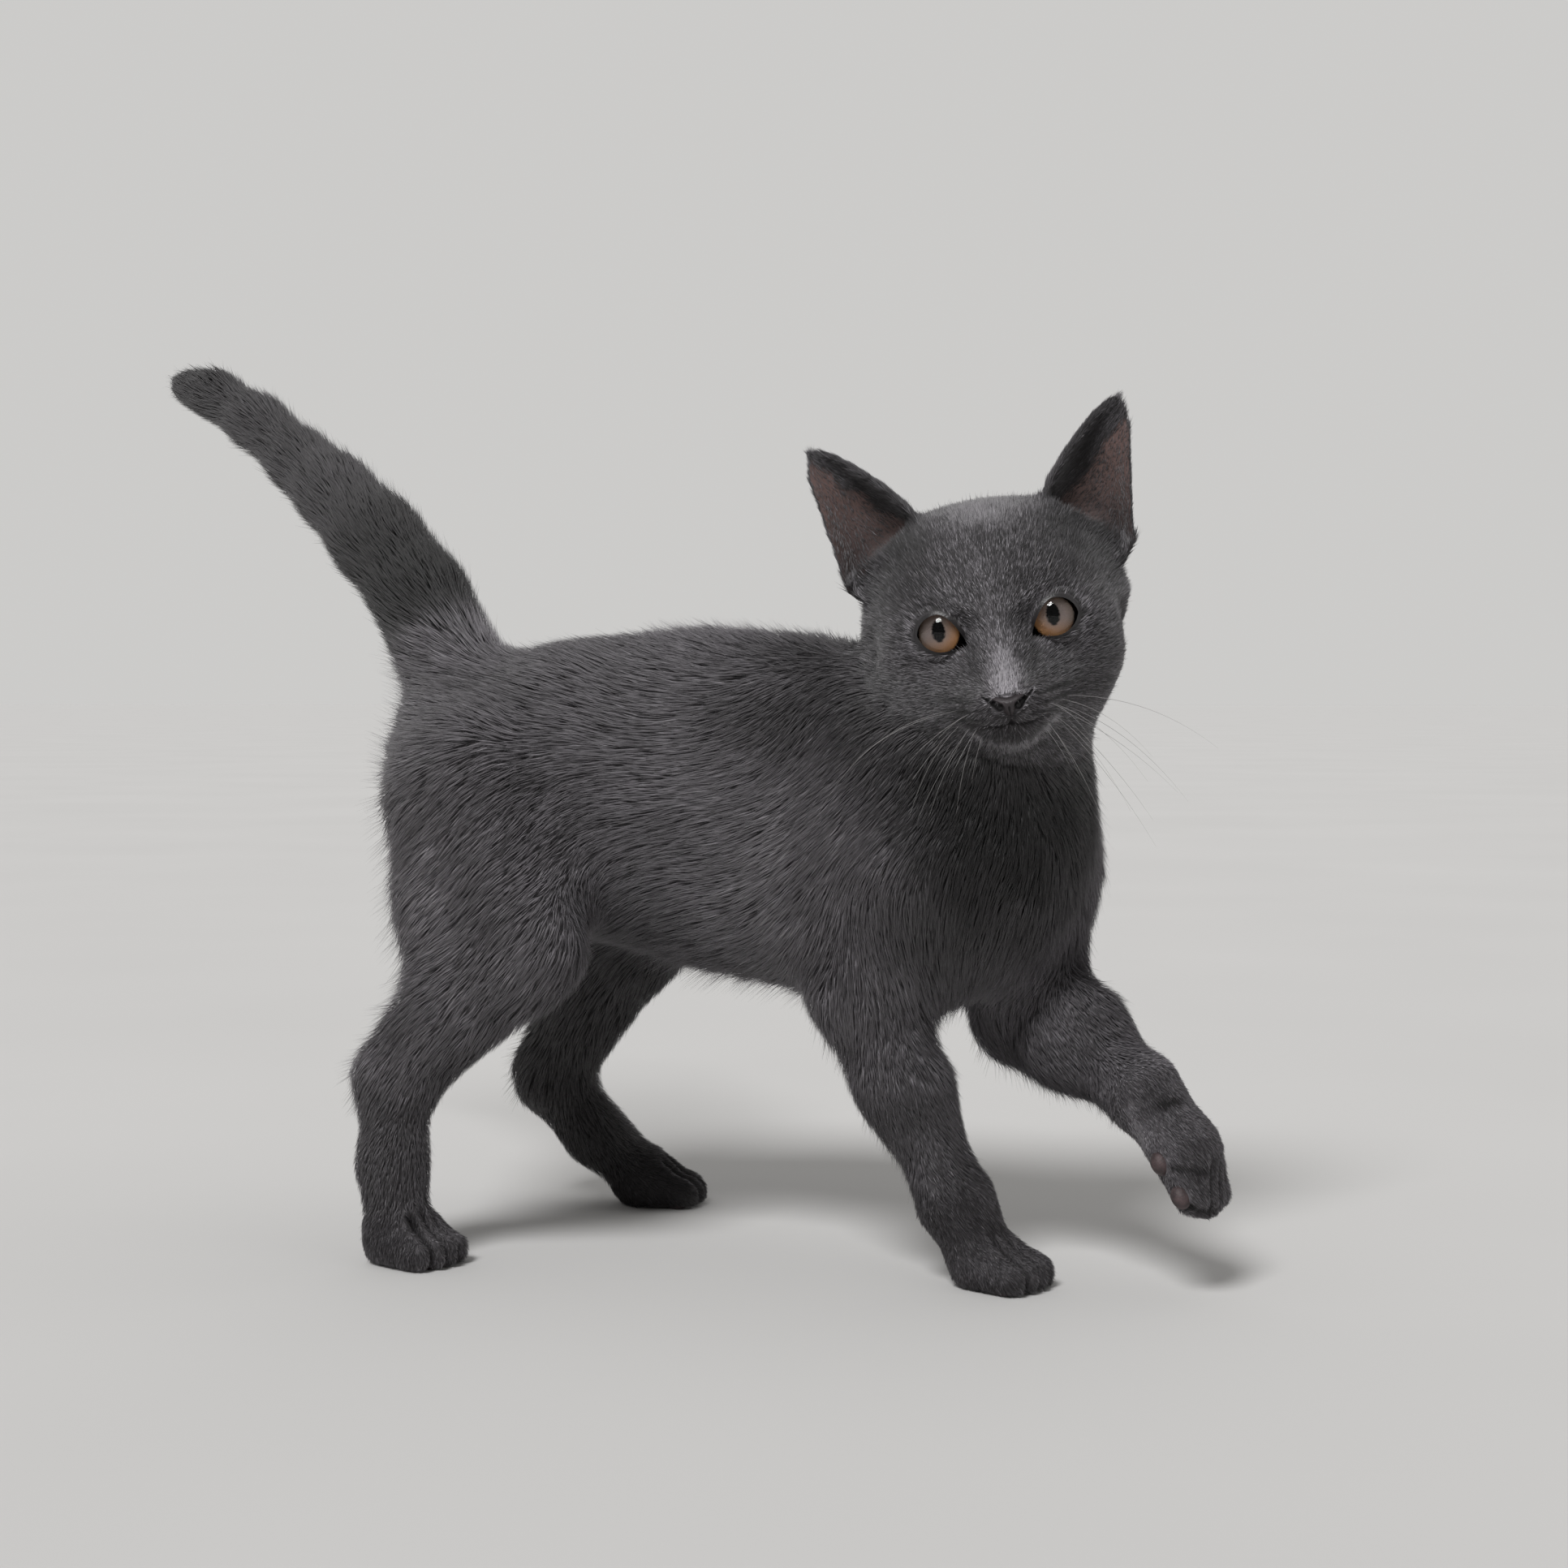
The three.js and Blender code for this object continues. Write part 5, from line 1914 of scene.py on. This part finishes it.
class Cut(Enum):
    """The three makes of tuft."""

    SHORT = "short"  # a straight spike, on face, ears and feet
    LONG = "long"  # a bent lock
    LOOSE = "loose"  # a single long hair that stands off the rest


@dataclass(frozen=True)
class CoatPart:
    """One piece of the coat: where it grows, how many tufts it has and how unlike their tones are."""

    name: str
    nodes: tuple[str, ...]
    tufts: int
    cut: Cut = Cut.LONG
    spread: float = 0.07


COAT_PARTS = (
    CoatPart("coat_head", ("head",), 62000, Cut.SHORT, 0.28),
    CoatPart("coat_crown", ("head",), 34000, Cut.SHORT, 0.28),
    CoatPart("coat_ears", ("ear",), 30000, Cut.SHORT, 0.16),
    CoatPart("coat_neck", ("neck",), 13000),
    CoatPart("coat_chest", ("chest",), 19000),
    CoatPart("coat_flanks", ("abdomen",), 16000),
    CoatPart("coat_hips", ("hips",), 18000),
    CoatPart("coat_tail", ("tail",), 15000),
    CoatPart("coat_upper_arms", ("upper_arm",), 14000),
    CoatPart("coat_forearms", ("forearm",), 13000),
    CoatPart("coat_thighs", ("thigh",), 17000),
    CoatPart("coat_shanks", ("shin", "hock"), 16000),
    CoatPart("coat_paws", ("forepaw", "hindpaw"), 48000, Cut.SHORT, 0.16),
    CoatPart("loose_hairs", CENTRE_NODES + LEGS, 34000, Cut.LOOSE),
)


@dataclass
class Tufts:
    """The tufts of one piece, a row each, in millimetres."""

    roots: Array
    normals: Array  # the skin's at the roots
    flow: Array  # the way each lies
    length: Array
    depth: Array  # how far the tip stands off the skin
    width: Array
    tone: Array  # how light it is
    clump: Array  # how far it leans to its neighbours' tips
    bake: Array  # the root's place on the skin's unwrap


@dataclass
class Coat:
    """Thin tufts over the whole skin, lying the way the hair grows."""

    skin: Skin
    surface: Surface
    seed: int = 11
    face_from: float = -22.0  # depth in the head at which the coat of the face meets that of the crown
    length_range: tuple[float, float] = (0.7, 1.25)  # of single tufts, as shares of the coat's measure
    depth_range: tuple[float, float] = (0.65, 1.0)
    width_range: tuple[float, float] = (0.7, 1.2)
    strays: tuple[float, float] = (0.05, 0.3)  # share that stands out, everywhere and more at loose edges
    loose_width: float = 0.3  # of a loose hair, as a share of a tuft's width
    root_depth: tuple[float, float] = (0.3, 0.4)  # of spikes and of locks, under the skin
    to_a_leader: int = 16  # locks that lean together
    finish: GuardHair = field(default_factory=GuardHair)

    def build(self) -> list[Object]:
        """Builds every piece of the coat.

        Returns:
            The new pieces.
        """
        self.chance = np.random.default_rng(self.seed)
        self.normals = self.surface.normals()
        self.tree = search_tree(self.surface.points, range(len(self.surface.points)))
        self.read_faces()
        material = self.finish.material()
        pieces = []
        for part in COAT_PARTS:
            piece = self.part(part)
            piece.data.materials.append(material)
            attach(piece, BODY)
            log.info("%s: %d faces", piece.name, len(piece.data.polygons))
            pieces.append(piece)
        return pieces

    def read_faces(self) -> None:
        """Reads the skin's triangles, their areas and their places on its unwrap."""
        mesh = self.surface.item.data
        mesh.calc_loop_triangles()
        count = len(mesh.loop_triangles)
        corners, loops = np.zeros(count * 3, np.int32), np.zeros(count * 3, np.int32)
        mesh.loop_triangles.foreach_get("vertices", corners)
        mesh.loop_triangles.foreach_get("loops", loops)
        self.corners = corners.reshape(-1, 3)
        places = np.zeros(len(mesh.loops) * 2)
        mesh.uv_layers[BAKE_MAP].uv.foreach_get("vector", places)
        self.bake_places = places.reshape(-1, 2)[loops.reshape(-1, 3)]
        a, b, c = (self.surface.points[self.corners[:, k]] for k in range(3))
        self.areas = np.linalg.norm(np.cross(b - a, c - a), axis=1) / 2

    def part(self, part: CoatPart) -> Object:
        """Builds one piece of the coat.

        Args:
            part: Which piece.

        Returns:
            The new piece.
        """
        skin = self.skin
        inside = skin.belongs(*part.nodes)
        if part.name in ("coat_head", "coat_crown"):
            front = to_head(self.surface.points)[:, 0] > self.face_from
            inside = inside & (front if part.name == "coat_head" else ~front)
        wanted = inside[self.corners].mean(axis=1) > 0.5
        share = self.areas * skin.density[self.corners].mean(axis=1) * wanted
        picked = self.chance.choice(len(share), part.tufts, p=share / share.sum())
        weights = self.chance.dirichlet(np.ones(3), part.tufts)
        at = self.corners[picked]

        def mixed(values: Array) -> Array:
            """Reads values of the skin at the roots."""
            shares = weights if values.ndim == 1 else weights[..., None]
            return (values[at] * shares).sum(axis=1)

        roots, normals = mixed(self.surface.points), mixed(self.normals)
        bake = (self.bake_places[picked] * weights[..., None]).sum(axis=1)
        flow = self.turned(mixed(skin.flow), normals, roots)
        length = mixed(skin.length) * self.chance.uniform(*self.length_range, part.tufts)
        depth = mixed(skin.depth) * self.chance.uniform(*self.depth_range, part.tufts)
        everywhere, more = self.strays
        stray = self.chance.random(part.tufts) < everywhere + more * mixed(skin.fray)
        reach = self.chance.uniform(0.2, 1.0, part.tufts) * stray
        depth = depth * (1 + 0.9 * reach)
        length = length * (1 + 0.2 * reach)
        width = mixed(skin.width) * self.chance.uniform(*self.width_range, part.tufts) * (1 - 0.35 * reach)
        tone = mixed(skin.tone) + self.chance.normal(0, part.spread, part.tufts)
        if part.cut is Cut.LOOSE:
            lift = 0.75 + 1.1 * mixed(skin.fray)
            depth = mixed(skin.depth) * lift * self.chance.uniform(1.0, 1.5, part.tufts)
            length = np.maximum(length * 0.85, 1.35 * depth)
            width = width * self.loose_width
            tone = tone + 0.1
        tufts = Tufts(roots, normals, flow, length, depth, width, tone, mixed(skin.clump), bake)
        make = self.locks if part.cut is Cut.LONG else self.spikes
        return make(part.name, tufts)

    def turned(self, flow: Array, normals: Array, roots: Array) -> Array:
        """The lie of each tuft, a little off that of its neighbours.

        Args:
            flow: The coat's lie at the roots.
            normals: The skin's normals there.
            roots: The roots.

        Returns:
            Unit directions along the skin.
        """
        flow = across(flow, normals)
        side = np.cross(normals, flow)
        swing = 0.16 * noise(roots, 14, 3) + 0.14 * noise(roots, 5, 4)
        swing = swing + self.chance.normal(0, 0.1, len(roots))
        return unit(flow + side * swing[:, None])

    def on_skin(self, places: Array) -> tuple[Array, Array, Array]:
        """Drops points onto the skin.

        Args:
            places: Points near it.

        Returns:
            The points on the skin, the normals and the lie of the coat there.
        """
        near = np.array([self.tree.find(place)[1] for place in places])
        normals = self.normals[near]
        above = np.sum((places - self.surface.points[near]) * normals, axis=1, keepdims=True)
        return places - above * normals, normals, self.skin.flow[near]

    def spikes(self, name: str, tufts: Tufts) -> Object:
        """Makes straight short tufts of three sides.

        Args:
            name: The piece's name.
            tufts: The tufts.

        Returns:
            The new piece.
        """
        normals, flow, depth = tufts.normals, tufts.flow, tufts.depth
        along = np.sqrt(np.maximum(tufts.length**2 - depth**2, 0.1))
        tips = tufts.roots + flow * along[:, None] + normals * depth[:, None]
        side = np.cross(normals, flow)
        half = 0.5 * tufts.width[:, None]
        base = tufts.roots - self.root_depth[0] * normals
        ring = [base + side * half, base - side * half, base + normals * half * 1.3 - flow * half]
        points = np.stack([*ring, tips], 1)
        faces = [[0, 2, 3], [2, 1, 3], [1, 0, 3]]
        shades = [-0.36, -0.36, -0.26, 0.28]
        spots = [[-0.5, -0.5], [0.5, -0.5], [0, -0.5], [0, 0.5]]
        return self.finished(name, tufts, points, faces, shades, spots)

    def locks(self, name: str, tufts: Tufts) -> Object:
        """Makes longer tufts of three sides that follow the body and lean together at the tips.

        Args:
            name: The piece's name.
            tufts: The tufts.

        Returns:
            The new piece.
        """
        roots, depth = tufts.roots, tufts.depth[:, None]
        step = 0.5 * tufts.length[:, None]
        middles, normals, flow = self.on_skin(roots + tufts.flow * step)
        onward = across(0.5 * flow + tufts.flow, normals)
        tips, tip_normals, _ = self.on_skin(middles + onward * step)
        middles = middles + 0.5 * normals * depth
        tips = tips + tip_normals * depth
        leaders = self.chance.choice(len(roots), len(roots) // self.to_a_leader, replace=False)
        tree = search_tree(roots, leaders)
        leader = np.array([tree.find(root)[1] for root in roots])
        lean = (tufts.clump * self.chance.uniform(0.5, 1.2, len(roots)))[:, None]
        middles = middles + 0.35 * lean * (middles[leader] - middles)
        tips = tips + lean * (tips[leader] - tips)
        side = unit(np.cross(normals, tips - roots))
        half = 0.55 * tufts.width[:, None]
        middles = middles - 0.15 * (tips - roots)
        ring = [middles + side * half, middles - side * half, middles + normals * half * 0.4]
        points = np.stack([roots - self.root_depth[1] * tufts.normals, *ring, tips], 1)
        faces = [[0, 3, 1], [0, 2, 3], [0, 1, 2], [1, 3, 4], [3, 2, 4], [2, 1, 4]]
        shades = [-0.14, -0.02, -0.02, 0.0, 0.1]
        spots = [[0, -0.5], [-0.5, 0], [0.5, 0], [0, 0], [0, 0.5]]
        return self.finished(name, tufts, points, faces, shades, spots)

    def finished(
        self, name: str, tufts: Tufts, points: Array, faces: list, shades: list, spots: list
    ) -> Object:
        """Makes a coat piece with its tones and its places on the skin's unwrap.

        Args:
            name: The piece's name.
            tufts: The tufts.
            points: The vertices of each tuft.
            faces: The triangles of one tuft.
            shades: How much lighter than its tuft each vertex is.
            spots: Where each vertex of a tuft lies in its patch, in widths of the patch.

        Returns:
            The new piece.
        """
        count, corners, _ = points.shape
        points = points.reshape(-1, 3)
        points[:, 2] = np.maximum(points[:, 2], 0.15)
        triangles = (np.arange(count)[:, None, None] * corners + np.array(faces)).reshape(-1, 3)
        piece = make_object(name, points, triangles)
        set_attribute(piece.data, "tone", (tufts.tone[:, None] + np.array(shades)).ravel())
        layer = piece.data.uv_layers.new(name=BAKE_MAP)
        places = (tufts.bake[:, None] + np.array(spots)[None] * BAKE_PATCH).reshape(-1, 2)
        layer.uv.foreach_set("vector", places[triangles.ravel()].astype(np.float32).ravel())
        return piece


# ------------ Studio and assembly ------------


@dataclass
class Studio:
    """A plain pale floor, soft lights and the camera."""

    camera_at: tuple[float, float, float] = (261.9, -778.4, 178.0)
    heading: float = 15.0  # degrees that the view is turned from straight along +Y
    tilt: float = -1.974  # degrees that it looks below level
    lens: float = 57.3
    floor_half: float = 60000.0
    key_from: tuple[float, float, float] = (-0.12, -0.62, 0.76)
    key_power: float = 2.4
    key_breadth: float = 20.0  # degrees that the light spans, as a large soft box does
    room_light: float = 0.68
    near_wall: str = "#8d8c8a"
    far_wall: str = "#f2f1ef"

    def build(self) -> None:
        """Builds floor, light and camera."""
        self.floor()
        self.camera()
        self.sun()
        self.room()
        bpy.context.scene.view_settings.view_transform = "Standard"

    def room(self) -> None:
        """Lights the room evenly, but for its dim near side, which wet eyes mirror."""
        world = bpy.data.worlds.new("room")
        bpy.context.scene.world = world
        world.use_nodes = True
        tree = world.node_tree
        way = add_node(tree, "ShaderNodeTexCoord").outputs["Generated"]
        depth = add_node(tree, "ShaderNodeSeparateXYZ", Vector=way).outputs["Y"]
        share = add_node(tree, "ShaderNodeMapRange", Value=depth, From_Min=-0.6, From_Max=0.4)
        colour = colour_ramp(tree, share.outputs[0], {0.0: self.near_wall, 1.0: self.far_wall})
        back = tree.nodes["Background"]
        tree.links.new(colour, back.inputs["Color"])
        back.inputs["Strength"].default_value = self.room_light

    def floor(self) -> None:
        """Builds the floor."""
        half = self.floor_half
        corners = np.array([[-half, -half, 0], [half, -half, 0], [half, half, 0], [-half, half, 0]])
        item = make_object("floor", corners, [(0, 1, 2, 3)], smooth=False)
        item.data.materials.append(StudioPaper().material())

    def camera(self) -> None:
        """Builds the camera."""
        data = bpy.data.cameras.new("camera")
        data.lens = self.lens
        item = bpy.data.objects.new("camera", data)
        bpy.context.scene.collection.objects.link(item)
        heading, tilt = math.radians(self.heading), math.radians(self.tilt)
        ahead = Vector(
            (-math.sin(heading) * math.cos(tilt), math.cos(heading) * math.cos(tilt), math.sin(tilt))
        )
        item.matrix_world = Matrix.Translation(Vector(self.camera_at) * MM) @ (
            ahead.to_track_quat("-Z", "Y").to_matrix().to_4x4()
        )
        bpy.context.scene.camera = item

    def sun(self) -> None:
        """Adds one broad soft light, even over the whole floor, from the camera's left and above."""
        data = bpy.data.lights.new("key", "SUN")
        data.energy = self.key_power
        data.angle = math.radians(self.key_breadth)
        item = bpy.data.objects.new("key", data)
        bpy.context.scene.collection.objects.link(item)
        item.matrix_world = (-Vector(self.key_from)).to_track_quat("-Z", "Y").to_matrix().to_4x4()


@dataclass
class Kitten:
    """The whole kitten."""

    skin: Skin = field(default_factory=Skin)
    eyes: Eyes = field(default_factory=Eyes)
    nose: Nose = field(default_factory=Nose)
    whiskers: Whiskers = field(default_factory=Whiskers)
    pads: Pads = field(default_factory=Pads)

    def build(self) -> None:
        """Builds every piece and reports it."""
        surface = self.skin.build()
        self.unwrap(surface.item)
        item = surface.item
        item.data.materials.append(Undercoat().material())
        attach(item, BODY)
        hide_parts(*FLESH)
        log.info("skin: %d faces", len(item.data.polygons))
        for piece in self.eyes.build() + [self.nose.build(), self.whiskers.build(), self.pads.build()]:
            log.info("%s: %d faces", piece.name, len(piece.data.polygons))
        Coat(self.skin, surface).build()
        self.open_eyes(item)

    def unwrap(self, item: Object) -> None:
        """Unwraps the skin for the bake.

        Args:
            item: The skin.
        """
        item.data.uv_layers.new(name=BAKE_MAP)
        bpy.context.view_layer.objects.active = item
        item.select_set(True)
        bpy.ops.object.mode_set(mode="EDIT")
        bpy.ops.mesh.select_all(action="SELECT")
        bpy.ops.uv.smart_project(angle_limit=math.radians(66), island_margin=0.002)
        bpy.ops.object.mode_set(mode="OBJECT")
        item.select_set(False)

    def open_eyes(self, item: Object) -> None:
        """Cuts the openings of the lids.

        Args:
            item: The skin.
        """
        opening = self.skin.opening
        ring = opening.outline()
        count = len(ring)
        for side in Side:
            centre = opening.centre(side)
            levels = []
            for forward in (1.5, 14.0):
                level = np.stack([np.full(count, forward), side.value * ring[:, 0], ring[:, 1]], 1)
                levels.append(level + centre)
            faces = [(k, (k + 1) % count, (k + 1) % count + count, k + count) for k in range(count)]
            faces += [tuple(reversed(range(count))), tuple(range(count, 2 * count))]
            cutter = make_object("cutter", from_head(np.concatenate(levels)), faces, smooth=False)
            mesh = bmesh.new()
            mesh.from_mesh(cutter.data)
            bmesh.ops.recalc_face_normals(mesh, faces=mesh.faces)
            mesh.to_mesh(cutter.data)
            mesh.free()
            cut = item.modifiers.new("cut", "BOOLEAN")
            cut.operation = "DIFFERENCE"
            cut.solver = "EXACT"
            cut.object = cutter
            applied(item)
            bpy.data.objects.remove(cutter)


def main() -> None:
    """Builds the kitten and its studio."""
    logging.basicConfig(level=logging.INFO, format="%(message)s")
    Studio().build()
    Kitten().build()


if __name__ == "__main__":
    main()
